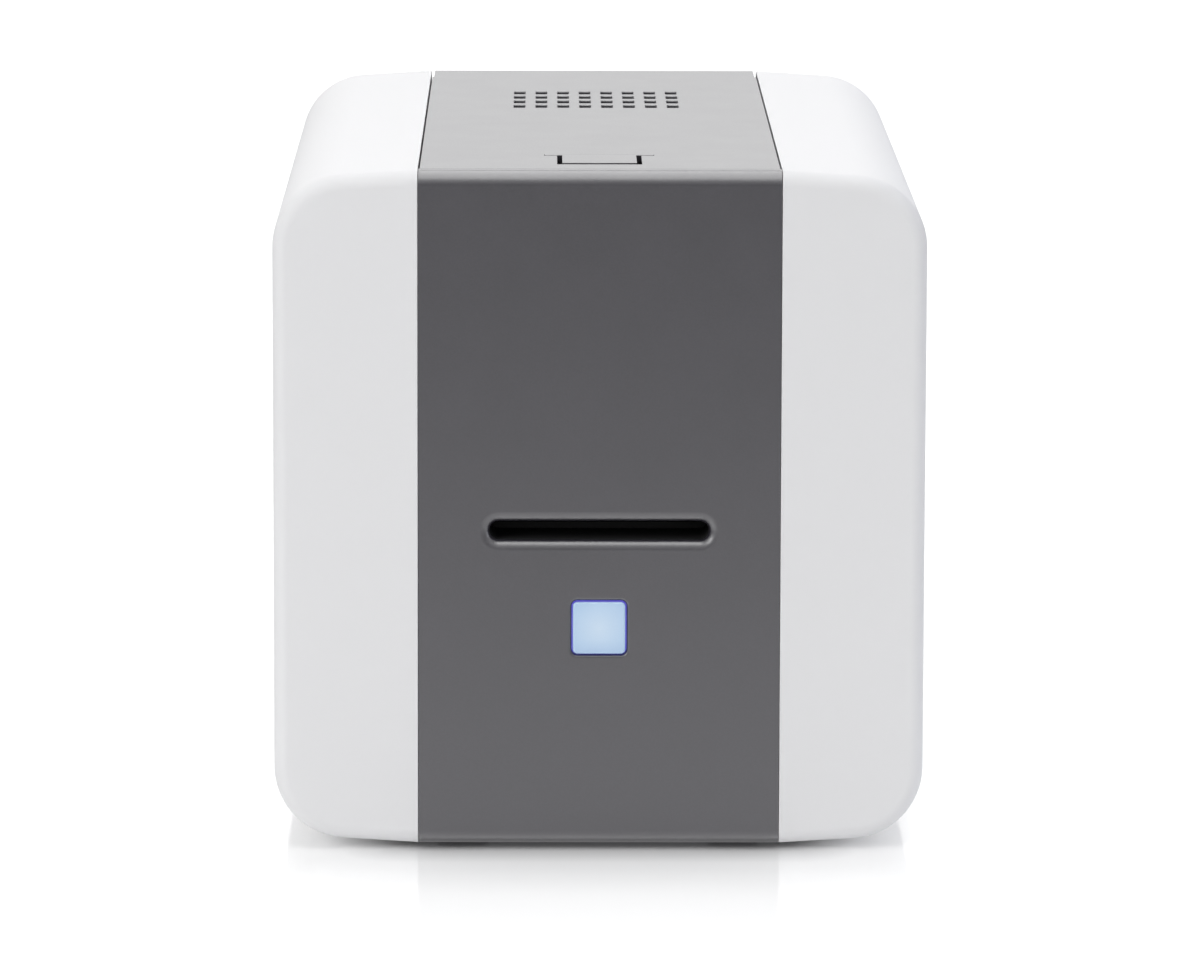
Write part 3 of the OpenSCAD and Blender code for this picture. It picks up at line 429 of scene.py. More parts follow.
def combine(piece: bpy.types.Object, tool: bpy.types.Object, use: Use) -> None:
    """Adds a closed solid to a piece or cuts it out, and removes the solid.

    Args:
        piece: The piece to change.
        tool: The solid.
        use: What is done with the solid.
    """
    step = piece.modifiers.new(use.name, "BOOLEAN")
    step.operation, step.solver, step.object = use.value, "EXACT", tool
    plain_mesh(piece)
    discard(tool)


def join_solids(first: bpy.types.Object, *others: bpy.types.Object) -> None:
    """Unites closed solids into the first one, and removes the others."""
    for other in others:
        combine(first, other, Use.ADD)


def fit(piece: bpy.types.Object, material: bpy.types.Material, body: str, node: str) -> None:
    """Dresses a finished piece and puts it in place of its node.

    Args:
        piece: The finished piece.
        material: Its material.
        body: The body it rides on.
        node: The node it replaces.
    """
    piece.data.materials.clear()
    piece.data.materials.append(material)
    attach(piece, body)
    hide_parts(node)
    log.info("made %s", piece.name)


# ---------------------------------------------------------------- node trees


class Tree:
    """A node tree, with short ways to add nodes."""

    def __init__(self, tree: bpy.types.NodeTree) -> None:
        """Takes a tree that is still empty."""
        self.tree = tree

    def add(self, kind: str, **inputs: object) -> bpy.types.Node:
        """Adds a node and sets or links its inputs.

        Args:
            kind: The node's type.
            inputs: Value or source of each input, whose name is written with _ for a space.

        Returns:
            The new node.
        """
        node = self.tree.nodes.new(kind)
        for name, value in inputs.items():
            self.put(node.inputs[name.replace("_", " ")], value)
        return node

    def put(self, socket: bpy.types.NodeSocket, value: object) -> None:
        """Links a socket to another one, or gives it a constant.

        Args:
            socket: The input.
            value: Another node's output, or a number, colour or vector.
        """
        if isinstance(value, bpy.types.NodeSocket):
            self.tree.links.new(value, socket)
        elif isinstance(value, tuple) and len(value) == 3 and socket.type == "RGBA":
            socket.default_value = (*value, 1.0)
        else:
            socket.default_value = value

    def math(self, operation: str, first: object, second: object = 0.0) -> bpy.types.NodeSocket:
        """Result of one sum on two numbers.

        Args:
            operation: The kind of sum.
            first: First number or source.
            second: Second number or source.

        Returns:
            The result's socket.
        """
        node = self.tree.nodes.new("ShaderNodeMath")
        node.operation = operation
        self.put(node.inputs[0], first)
        self.put(node.inputs[1], second)
        return node.outputs[0]


# ---------------------------------------------------------------- geometry node patterns


class Pattern:
    """Geometry Nodes trees that repeat one small mesh."""

    @staticmethod
    def tree(name: str, sockets: Sequence[tuple[str, str]]) -> Tree:
        """Makes a tree with a geometry output and named inputs.

        Args:
            name: Name of the tree.
            sockets: Name and type of each input.

        Returns:
            The tree, without nodes yet.
        """
        group = bpy.data.node_groups.new(name, "GeometryNodeTree")
        for label, kind in sockets:
            group.interface.new_socket(label, in_out="INPUT", socket_type=kind)
        group.interface.new_socket("Geometry", in_out="OUTPUT", socket_type="NodeSocketGeometry")
        return Tree(group)

    @staticmethod
    def close(tree: Tree, copies: bpy.types.Node,
              material: bpy.types.NodeSocket) -> bpy.types.GeometryNodeTree:
        """Ends a tree: realizes the copies, merges touching points and sets the material.

        Args:
            tree: The tree.
            copies: The node that makes the copies.
            material: Source of their material.

        Returns:
            The finished node group.
        """
        real = tree.add("GeometryNodeRealizeInstances", Geometry=copies.outputs["Instances"])
        merge = tree.add("GeometryNodeMergeByDistance", Geometry=real.outputs["Geometry"],
                         Distance=CELL_MERGE)
        paint = tree.add("GeometryNodeSetMaterial", Geometry=merge.outputs["Geometry"], Material=material)
        tree.add("NodeGroupOutput", Geometry=paint.outputs["Geometry"])
        return tree.tree

    @classmethod
    def grid(cls) -> bpy.types.GeometryNodeTree:
        """Tree that lays copies of a cell on a grid of columns and rows.

        Returns:
            The finished node group.
        """
        tree = cls.tree("cells_on_grid", [
            ("Cell", "NodeSocketObject"), ("Columns", "NodeSocketInt"), ("Rows", "NodeSocketInt"),
            ("Column Pitch", "NodeSocketFloat"), ("Row Pitch", "NodeSocketFloat"),
            ("Middle", "NodeSocketVector"), ("Material", "NodeSocketMaterial")])
        entry = tree.add("NodeGroupInput").outputs
        wide, deep = (tree.math("MULTIPLY", tree.math("SUBTRACT", entry[count], 1.0), entry[pitch])
                      for count, pitch in (("Columns", "Column Pitch"), ("Rows", "Row Pitch")))
        grid = tree.add("GeometryNodeMeshGrid", Size_X=wide, Size_Y=deep, Vertices_X=entry["Columns"],
                        Vertices_Y=entry["Rows"])
        shift = tree.add("GeometryNodeTransform", Geometry=grid.outputs["Mesh"], Translation=entry["Middle"])
        cell = tree.add("GeometryNodeObjectInfo", Object=entry["Cell"])
        copies = tree.add("GeometryNodeInstanceOnPoints", Points=shift.outputs["Geometry"],
                          Instance=cell.outputs["Geometry"])
        return cls.close(tree, copies, entry["Material"])

    @classmethod
    def points(cls) -> bpy.types.GeometryNodeTree:
        """Tree that puts a turned copy of a cell on each point of a mesh.

        Returns:
            The finished node group.
        """
        tree = cls.tree("cells_on_points", [
            ("Points", "NodeSocketGeometry"), ("Cell", "NodeSocketObject"),
            ("Turn", "NodeSocketRotation"), ("Material", "NodeSocketMaterial")])
        entry = tree.add("NodeGroupInput").outputs
        cell = tree.add("GeometryNodeObjectInfo", Object=entry["Cell"])
        copies = tree.add("GeometryNodeInstanceOnPoints", Points=entry["Points"], Rotation=entry["Turn"],
                          Instance=cell.outputs["Geometry"])
        return cls.close(tree, copies, entry["Material"])

    @staticmethod
    def run(piece: bpy.types.Object, group: bpy.types.GeometryNodeTree, cell: bpy.types.Object,
            values: dict[str, object]) -> bpy.types.Object:
        """Runs a tree on a piece, keeps its result as a plain mesh and removes the cell.

        Args:
            piece: The object that carries the tree.
            group: The tree.
            cell: The small mesh that is repeated.
            values: Value of each other named input.

        Returns:
            The piece with the result as its mesh.
        """
        inputs = {s.name: s.identifier for s in group.interface.items_tree if s.in_out == "INPUT"}
        modifier = piece.modifiers.new(group.name, "NODES")
        modifier.node_group = group
        for label, value in {"Cell": cell, **values}.items():
            modifier[inputs[label]] = value
        plain_mesh(piece)
        discard(cell)
        return piece


# ---------------------------------------------------------------- finishes


@dataclass(frozen=True)
class Look:
    """How one surface looks: its colour and shine, and the fine texture of its making."""

    colour: Triple
    roughness: float = 0.5
    metallic: float = 0.0
    grain: float = 0.4
    depth: float = 0.01
    mottle: float = 0.05
    streak: Optional[Axis] = None


@dataclass(frozen=True)
class Zone:
    """A box in (x, s, z) millimetres, or a ring round an X axis, where another look takes over."""

    look: Look
    x: Span = (-FAR, FAR)
    s: Span = (-FAR, FAR)
    z: Span = (-FAR, FAR)
    centre: Optional[Pair] = None
    radius: Span = (0.0, FAR)
    mirrored: bool = False


class Graph(Tree):
    """The node tree of a material or of the world."""

    def __init__(self, owner: bpy.types.ID, coordinates: str = "Object") -> None:
        """Empties the owner's tree and reads its coordinates.

        Args:
            owner: A material or a world.
            coordinates: Output of Texture Coordinate to read.
        """
        owner.use_nodes = True
        super().__init__(owner.node_tree)
        self.owner = owner
        self.tree.nodes.clear()
        self.point = self.add("ShaderNodeTexCoord").outputs[coordinates]

    @classmethod
    def material(cls, name: str) -> "Graph":
        """The empty tree of a new material."""
        return cls(bpy.data.materials.new(name))

    def end(self, shader: bpy.types.Node, kind: str = "ShaderNodeOutputMaterial") -> bpy.types.ID:
        """Sends a shader to the tree's output and returns the material or world."""
        self.put(self.add(kind).inputs["Surface"], shader.outputs[0])
        return self.owner

    def length(self, first: object, second: object) -> bpy.types.NodeSocket:
        """Root of the sum of two squares."""
        squares = [self.math("MULTIPLY", part, part) for part in (first, second)]
        return self.math("SQRT", self.math("ADD", *squares))

    def blend(self, share: object, first: object, second: object,
              colour: bool = False) -> bpy.types.NodeSocket:
        """Result of a mix of two numbers or colours.

        Args:
            share: How much of the second one is taken.
            first: First number or colour.
            second: Second number or colour.
            colour: True for colours.

        Returns:
            The result's socket.
        """
        node = self.tree.nodes.new("ShaderNodeMix")
        node.data_type = "RGBA" if colour else "FLOAT"
        kind = "Color" if colour else "Float"
        sockets = {s.identifier: s for s in node.inputs}
        self.put(sockets["Factor_Float"], share)
        self.put(sockets["A_" + kind], first)
        self.put(sockets["B_" + kind], second)
        return next(s for s in node.outputs if s.identifier == "Result_" + kind)

    def noise(self, size: float, detail: float = 2.0, stretch: Optional[Axis] = None) -> bpy.types.NodeSocket:
        """Noise, drawn out along an axis if one is given.

        Args:
            size: Size of its features in mm.
            detail: How many finer layers it has.
            stretch: The axis it is drawn out along.

        Returns:
            The noise's socket.
        """
        vector = self.point
        if stretch is not None:
            scale = [1.0, 1.0, 1.0]
            scale[stretch.value] = STRETCH
            vector = self.add("ShaderNodeMapping", Vector=self.point, Scale=tuple(scale)).outputs[0]
        return self.add("ShaderNodeTexNoise", Vector=vector, Scale=1.0 / (size * MM), Detail=detail,
                        Roughness=NOISE_ROUGHNESS).outputs[0]

    def ranged(self, value: bpy.types.NodeSocket, low: float, high: float) -> bpy.types.NodeSocket:
        """A value spread from low..high to 0..1 and held there.

        Args:
            value: The value's source.
            low: Value that gives 0.
            high: Value that gives 1.

        Returns:
            The result's socket.
        """
        node = self.add("ShaderNodeMapRange", Value=value, From_Min=low, From_Max=high)
        node.clamp = True
        return node.outputs[0]

    def within(self, value: bpy.types.NodeSocket, span: Span, offset: float = 0.0) -> bpy.types.NodeSocket:
        """1 where a length in metres lies in a span of millimetres, and 0 elsewhere.

        Args:
            value: The length.
            span: The span's ends.
            offset: How far the span is moved, in mm.

        Returns:
            The answer's socket.
        """
        low = self.math("GREATER_THAN", value, (span[0] + offset) * MM)
        high = self.math("LESS_THAN", value, (span[1] + offset) * MM)
        return self.math("MULTIPLY", low, high)

    def mask(self, zone: Zone) -> bpy.types.NodeSocket:
        """1 inside a zone and 0 outside it.

        Args:
            zone: The zone.

        Returns:
            The answer's socket.
        """
        parts = self.add("ShaderNodeSeparateXYZ", Vector=self.point).outputs
        across = self.math("ABSOLUTE", parts[0]) if zone.mirrored else parts[0]
        inside = self.within(across, zone.x)
        inside = self.math("MULTIPLY", inside, self.within(parts[1], zone.s, BODY.front))
        inside = self.math("MULTIPLY", inside, self.within(parts[2], zone.z))
        if zone.centre is not None:
            back = self.math("SUBTRACT", parts[1], (BODY.front + zone.centre[0]) * MM)
            up = self.math("SUBTRACT", parts[2], zone.centre[1] * MM)
            inside = self.math("MULTIPLY", inside, self.within(self.length(back, up), zone.radius))
        return inside

    def close(self, **sockets: object) -> bpy.types.Material:
        """Ends the material in a Principled surface with these sockets."""
        return self.end(self.add("ShaderNodeBsdfPrincipled", **sockets))


@dataclass(frozen=True)
class Finish:
    """A material made of a main look and the zones where other looks take over."""

    name: str
    look: Look
    zones: tuple[Zone, ...] = ()
    ior: float = PLAIN_IOR
    cloud: float = 14.0

    def material(self) -> bpy.types.Material:
        """The Blender material, made once.

        Returns:
            A procedural material with colour variation, uneven shine and fine relief.
        """
        made = bpy.data.materials.get(self.name)
        if made is not None:
            return made
        graph = Graph.material(self.name)
        cloud = graph.noise(self.cloud, 3.0)
        base = self.values(graph, self.look, cloud)
        for zone in self.zones:
            inside = graph.mask(zone)
            other = self.values(graph, zone.look, cloud)
            base = tuple(graph.blend(inside, *pair, colour=i == 0) for i, pair in enumerate(zip(base, other)))
        relief = graph.add("ShaderNodeBump", Height=base[3], Distance=MM, Strength=1.0)
        sockets = {"Base_Color": base[0], "Roughness": base[1], "Normal": relief.outputs[0], "IOR": self.ior}
        if self.zones or self.look.metallic:
            sockets["Metallic"] = base[2] if self.zones else self.look.metallic
        return graph.close(**sockets)

    @staticmethod
    def values(graph: Graph, look: Look, cloud: bpy.types.NodeSocket) -> tuple[object, ...]:
        """Colour, roughness, metal share and relief height of a look.

        Args:
            graph: The tree to add to.
            look: The look.
            cloud: A soft large noise for uneven tone.

        Returns:
            Sockets or constants for the four values.
        """
        grain = graph.noise(look.grain, 2.0, look.streak)
        tone = graph.blend(GRAIN_SHARE, cloud, grain)
        dark = tuple(max(c * (1 - look.mottle), 0.0) for c in look.colour)
        light = tuple(min(c * (1 + look.mottle), 1.0) for c in look.colour)
        colour = graph.blend(graph.ranged(tone, *TONE_ENDS), dark, light, colour=True)
        rough = graph.math("ADD", graph.math("MULTIPLY", tone, 2 * UNEVEN), look.roughness - UNEVEN)
        height = graph.math("MULTIPLY", grain, look.depth)
        return colour, rough, look.metallic, height


WHITE = Look((0.845, 0.845, 0.85), roughness=0.38, grain=0.5, depth=0.006, mottle=0.012)
GREY = Look((0.0235, 0.0215, 0.030), roughness=0.35, grain=0.5, depth=0.02, mottle=0.2)
BLACK = Look((0.018, 0.018, 0.020), roughness=0.48, grain=0.5, depth=0.015, mottle=0.15)
# Black plastic made darker than BLACK: painted shade for the card slot's throat.
BLACK_WITH_PAINTED_SHADE = Look((0.006, 0.006, 0.007), roughness=0.75, grain=0.5, depth=0.015, mottle=0.15)
CASSETTE = Look((0.28, 0.285, 0.31), roughness=0.42, grain=0.6, depth=0.012, mottle=0.06)
ACETAL = Look((0.80, 0.78, 0.71), roughness=0.36, grain=0.9, depth=0.004, mottle=0.04)
SPOOL = Look((0.82, 0.81, 0.78), roughness=0.40, grain=0.8, depth=0.006, mottle=0.04)
ZINC = Look((0.60, 0.61, 0.63), roughness=0.36, metallic=1.0, grain=2.2, depth=0.004, mottle=0.10)
GROUND = Look((0.66, 0.66, 0.67), roughness=0.24, metallic=1.0, grain=0.25, depth=0.003, mottle=0.06)
ALUMINIUM = Look((0.72, 0.73, 0.75), roughness=0.34, metallic=1.0, grain=0.5, depth=0.005, mottle=0.06,
                 streak=Axis.X)
BRONZE = Look((0.55, 0.38, 0.16), roughness=0.42, metallic=1.0, grain=0.35, depth=0.012, mottle=0.14)
STEEL_CAN = Look((0.50, 0.50, 0.52), roughness=0.30, metallic=1.0, grain=0.5, depth=0.004, mottle=0.08)
RUBBER = Look((0.030, 0.030, 0.032), roughness=0.72, grain=0.35, depth=0.03, mottle=0.18)
CLEANING = Look((0.16, 0.35, 0.62), roughness=0.55, grain=0.4, depth=0.02, mottle=0.08)
BOARD = Look((0.012, 0.115, 0.045), roughness=0.32, grain=1.6, depth=0.02, mottle=0.35)
CHIP = Look((0.020, 0.020, 0.022), roughness=0.5, grain=0.3, depth=0.01, mottle=0.2)
CERAMIC = Look((0.78, 0.75, 0.68), roughness=0.35, grain=0.5, depth=0.004, mottle=0.05)
GLAZE = Look((0.08, 0.055, 0.045), roughness=0.12, grain=0.5, depth=0.002, mottle=0.1)
FILM = Look((0.035, 0.028, 0.060), roughness=0.20, grain=3.0, depth=0.006, mottle=0.25, streak=Axis.X)
WOUND = Look((0.040, 0.032, 0.070), roughness=0.26, grain=0.5, depth=0.02, mottle=0.2, streak=Axis.X)


@dataclass
class InnerParts:
    """Finishes for the CAD nodes that show as they are, with the sizes of their coloured zones."""

    sleeve: float = 29.01
    pinch_sleeve: float = 26.01
    wound: float = 28.51
    feed_shaft: Pair = (120.0, 57.35)
    ribbon_shaft: Pair = (86.0, 125.0)
    takeup_axle: Pair = (110.0, 125.0)
    cam_axle: Pair = (150.0, 150.0)
    motor_shaft: Span = (0.0, 1.6)
    pinion_out: float = 54.01
    drive_out: float = 48.9
    takeup_bore: Span = (0.0, 3.1)
    cam_ring: Span = (2.01, 20.0)
    cams: Span = (15.4, 20.6)
    board_face: float = 79.99
    chip: tuple[Span, Span, Span] = ((77.0, 79.99), (90.0, 200.0), (59.0, 75.0))
    key_back: float = 12.3
    head_line: tuple[Span, Span] = ((147.6, 152.4), (80.0, 90.4))

    def finishes(self) -> dict[str, Finish]:
        """The finish of each node.

        Returns:
            Node names with their finishes.
        """
        found: dict[str, Finish] = {}
        for name, look, nodes, *zones in (
                ("grey_moulding", GREY, ("rear_panel", "base_pan")),
                ("black_moulding", BLACK, ("card_bed", "power_inlet", "switch_housing", "power_rocker",
                                           "fan_frame", "fan_rotor")),
                # The slot guide is black plastic, darkened past the other black mouldings as painted shade in
                # the slot.
                ("guide_lining", BLACK_WITH_PAINTED_SHADE, ("slot_guide",)),
                ("zinc_sheet", ZINC, ("left_frame_plate", "right_frame_plate", "cover_frame", "latch_catch",
                                      "usb_port")),
                ("turned_steel", GROUND, ("frame_tie_rods", "idler_studs", "cover_hinge_pins",
                                          "head_pivot_pin", "head_springs")),
                ("drawn_aluminium", ALUMINIUM, ("motor_brackets", "head_carrier", "heat_sink")),
                ("bearing_bronze", BRONZE, ("roller_bushes",)),
                ("motor_can", STEEL_CAN, ("feed_motor", "ribbon_motor", "cam_motor")),
                ("black_rubber", RUBBER, ("rubber_feet",)),
                ("cassette_plastic", CASSETTE, ("ribbon_cassette",)),
                ("ribbon_film", FILM, ("ribbon_film",)),
                ("gear_acetal", ACETAL, ("front_roller_gear", "mid_roller_gear", "platen_gear",
                                         "rear_roller_gear", "front_idler_gear", "mid_idler_gear",
                                         "rear_idler_gear")),
                ("rubber_roller", GROUND, ("front_feed_roller", "mid_feed_roller", "platen_roller",
                                           "rear_feed_roller"), Zone(RUBBER, x=(-self.sleeve, self.sleeve))),
                ("pinch_roller", GROUND, ("front_pinch_roller", "mid_pinch_roller", "rear_pinch_roller"),
                 Zone(RUBBER, x=(-self.pinch_sleeve, self.pinch_sleeve))),
                ("cleaning_roller", GROUND, ("cleaning_roller",),
                 Zone(CLEANING, x=(-self.pinch_sleeve, self.pinch_sleeve))),
                ("takeup_spool", SPOOL, ("takeup_spool", "supply_spool"),
                 Zone(WOUND, x=(-self.wound, self.wound))),
                ("motor_pinion", ACETAL, ("motor_pinion",),
                 Zone(GROUND, centre=self.feed_shaft, radius=self.motor_shaft),
                 Zone(GROUND, x=(-FAR, -self.pinion_out))),
                ("ribbon_pinion", ACETAL, ("ribbon_pinion",),
                 Zone(GROUND, centre=self.ribbon_shaft, radius=self.motor_shaft)),
                ("takeup_drive_gear", ACETAL, ("takeup_drive_gear",),
                 Zone(GROUND, centre=self.takeup_axle, radius=self.takeup_bore),
                 Zone(GROUND, x=(0, self.drive_out))),
                ("head_cam_shaft", GROUND, ("head_cam_shaft",),
                 Zone(ACETAL, x=self.cams, mirrored=True, centre=self.cam_axle, radius=self.cam_ring)),
                ("main_board", BOARD, ("main_board",),
                 Zone(GROUND, x=(0, self.board_face)), Zone(CHIP, *self.chip)),
                ("button_board", BOARD, ("button_board",), Zone(BLACK, s=(0, self.key_back))),
                ("print_head", CERAMIC, ("print_head",),
                 Zone(GLAZE, s=self.head_line[0], z=self.head_line[1]))):
            finish = Finish(name, look, tuple(zones), GREY_IOR if look is GREY else PLAIN_IOR)
            found.update({node: finish for node in nodes})
        return found

    def dress(self) -> None:
        """Gives each listed node its material."""
        for node, finish in self.finishes().items():
            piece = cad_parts[node]
            piece.data.materials.clear()
            piece.data.materials.append(finish.material())
            log.info("dressed %s in %s", node, finish.name)


# ---------------------------------------------------------------- outer mouldings


@dataclass
class SideShells:
    """The two white side mouldings: a sloping top, a long soft corner and an open side towards the band."""

    x_cut: float = 49.5
    steps: int = 24
    edge_steps: int = 8
    rim_edge: float = 0.22
    post_radius: float = 4.0
    post_bore: float = 1.3
    bore_depth: float = 8.0

    def outline(self, inset: float) -> list[Pair]:
        """The (x, z) outline of the right shell, from the band over the corners and back to the band.

        Args:
            inset: How far it lies inside the outer face, in mm.

        Returns:
            The outline's points.
        """
        slope = math.radians(BODY.slope)
        cx = BODY.width / 2 - BODY.corner
        cz = BODY.height / 2 - (BODY.corner + (cx - BODY.band / 2) * math.sin(slope)) / math.cos(slope)
        radius = BODY.corner - inset
        upper = arc(cx, cz, radius, 90 - BODY.slope, 0, self.steps)
        first = upper[0]
        upper.insert(0, (self.x_cut, first[1] + (first[0] - self.x_cut) * math.tan(slope)))
        return [(x, BODY.middle + z) for x, z in upper] + [(x, BODY.middle - z) for x, z in reversed(upper)]

    def shell(self, side: Side, name: str) -> bpy.types.Object:
        """Builds one shell.

        Args:
            side: The side that it is on.
            name: Name of the piece.

        Returns:
            The finished piece.
        """
        shape, sign = Shape(), side.value
        depth = BODY.depth
        edges = quarter(BODY.edge, self.edge_steps)
        places = [(inset, s) for inset, s in edges] + [(inset, depth - s) for inset, s in reversed(edges)]
        rings = [shape.loop((sign * x, s, z) for x, z in self.outline(inset)) for inset, s in places]
        shape.skin(rings, closed=False)
        shape.cap(rings[0])
        shape.cap(rings[-1])
        inner = [shape.loop((sign * x, s, z) for x, z in self.outline(BODY.wall))
                 for s in (BODY.wall, depth - BODY.wall)]
        shape.skin(inner, closed=False)
        shape.cap(inner[0])
        shape.cap(inner[1])
        rim = [r[0] for r in rings] + [r[-1] for r in reversed(rings)]
        hole = [inner[0][0], inner[1][0], inner[1][-1], inner[0][-1]]
        shape.fill(rim, [hole], Axis.X)
        piece = shape.build(name)
        posts = Shape()
        for s, z in BODY.posts:
            near, far = sign * BODY.plate_out, sign * (BODY.width / 2 - BODY.wall / 2)
            deep = sign * (BODY.plate_out + self.bore_depth)
            posts.turned([(deep, self.post_bore), (near, self.post_bore), (near, self.post_radius),
                          (far, self.post_radius)], (s, z), Axis.X, ROUND_STEPS)
        join_solids(piece, posts.build(name + "_posts"))
        return soften(piece, self.rim_edge)

    def make(self) -> None:
        """Builds both shells and puts them in place of their nodes."""
        material = Finish("white_shell", WHITE).material()
        for side in (Side.RIGHT, Side.LEFT):
            hand = side.name.lower()
            piece = self.shell(side, hand + "_shell_moulding")
            fit(piece, material, "chassis", hand + "_side_shell")


@dataclass
class FrontPanel:
    """The grey front moulding with the card slot and the button's opening."""

    lip: float = 5.8
    foot: float = 9.0
    slot_width: float = 60.0
    slot_height: float = 5.2
    slot_z: float = 88.75
    slot_round: Pair = (2.8, 2.2)
    slot_steps: int = 10
    slot_end_steps: int = 12
    opening: float = 15.1
    opening_corner: float = 1.6
    opening_round: Pair = (0.95, 0.6)
    opening_steps: int = 5
    rim_edge: float = 0.15

    def profile(self, inset: float) -> list[Pair]:
        """The (s, z) outline of one face of the panel from the top lip round to the bottom lip.

        Args:
            inset: How far the face lies inside the outer one, in mm.

        Returns:
            The outline's points.
        """
        edge = BODY.edge
        top = arc(edge, BODY.top - edge, edge - inset, 90, 180)
        low = arc(edge, BODY.base + edge, edge - inset, 180, 270)
        return [(self.lip, BODY.top - inset), *top, *low, (self.foot, BODY.base + inset)]

    def slot(self, grow: float) -> list[Pair]:
        """The card slot's (x, z) outline, larger all round by grow."""
        height = self.slot_height + 2 * grow
        return rounded(0, self.slot_z, self.slot_width + 2 * grow, height, height / 2 - SLIVER,
                       self.slot_end_steps)

    def hole(self, grow: float) -> list[Pair]:
        """The button opening's (x, z) outline, larger all round by grow."""
        size = self.opening + 2 * grow
        return rounded(0, BODY.button_z, size, size, self.opening_corner + grow)

    @staticmethod
    def rounding(size: Pair, steps: int) -> list[Pair]:
        """The (grow, s) steps of a rounded rim that is size[0] wide on the face and size[1] deep."""
        return [(grow * size[0], s * size[1]) for grow, s in quarter(1.0, steps)]

    def make(self) -> None:
        """Builds the panel and puts it in place of its node."""
        shape = Shape()
        half, wall = BODY.panel_half, BODY.wall
        faces = []
        for inset in (0.0, wall):
            line = self.profile(inset)
            sides = [shape.loop((x, s, z) for s, z in line) for x in (-half, half)]
            cut = len(line) // 2
            shape.bridge(sides[0][:cut], sides[1][:cut], closed=False)
            shape.bridge(sides[0][cut:], sides[1][cut:], closed=False)
            faces.append((sides, cut))
        outer, inner = (sides for sides, _ in faces)
        for left_or_right in (0, 1):
            shape.bridge(outer[left_or_right], inner[left_or_right], closed=False)
        for end in (0, -1):
            shape.cap([outer[0][end], outer[1][end], inner[1][end], inner[0][end]])
        openings = []
        for outline, size, steps in ((self.slot, self.slot_round, self.slot_steps),
                                     (self.hole, self.opening_round, self.opening_steps)):
            layers = [*self.rounding(size, steps), (0, wall)]
            openings.append([shape.loop((x, s, z) for x, z in outline(grow)) for grow, s in layers])
            shape.skin(openings[-1])
        for (sides, at), end in ((faces[0], 0), (faces[1], -1)):
            rect = [sides[0][at - 1], sides[1][at - 1], sides[1][at], sides[0][at]]
            shape.fill(rect, [rings[end] for rings in openings], Axis.Y)
        piece = soften(shape.build("front_moulding"), self.rim_edge)
        material = Finish("front_grey", GREY, ior=GREY_IOR).material()
        fit(piece, material, "chassis", "front_panel")


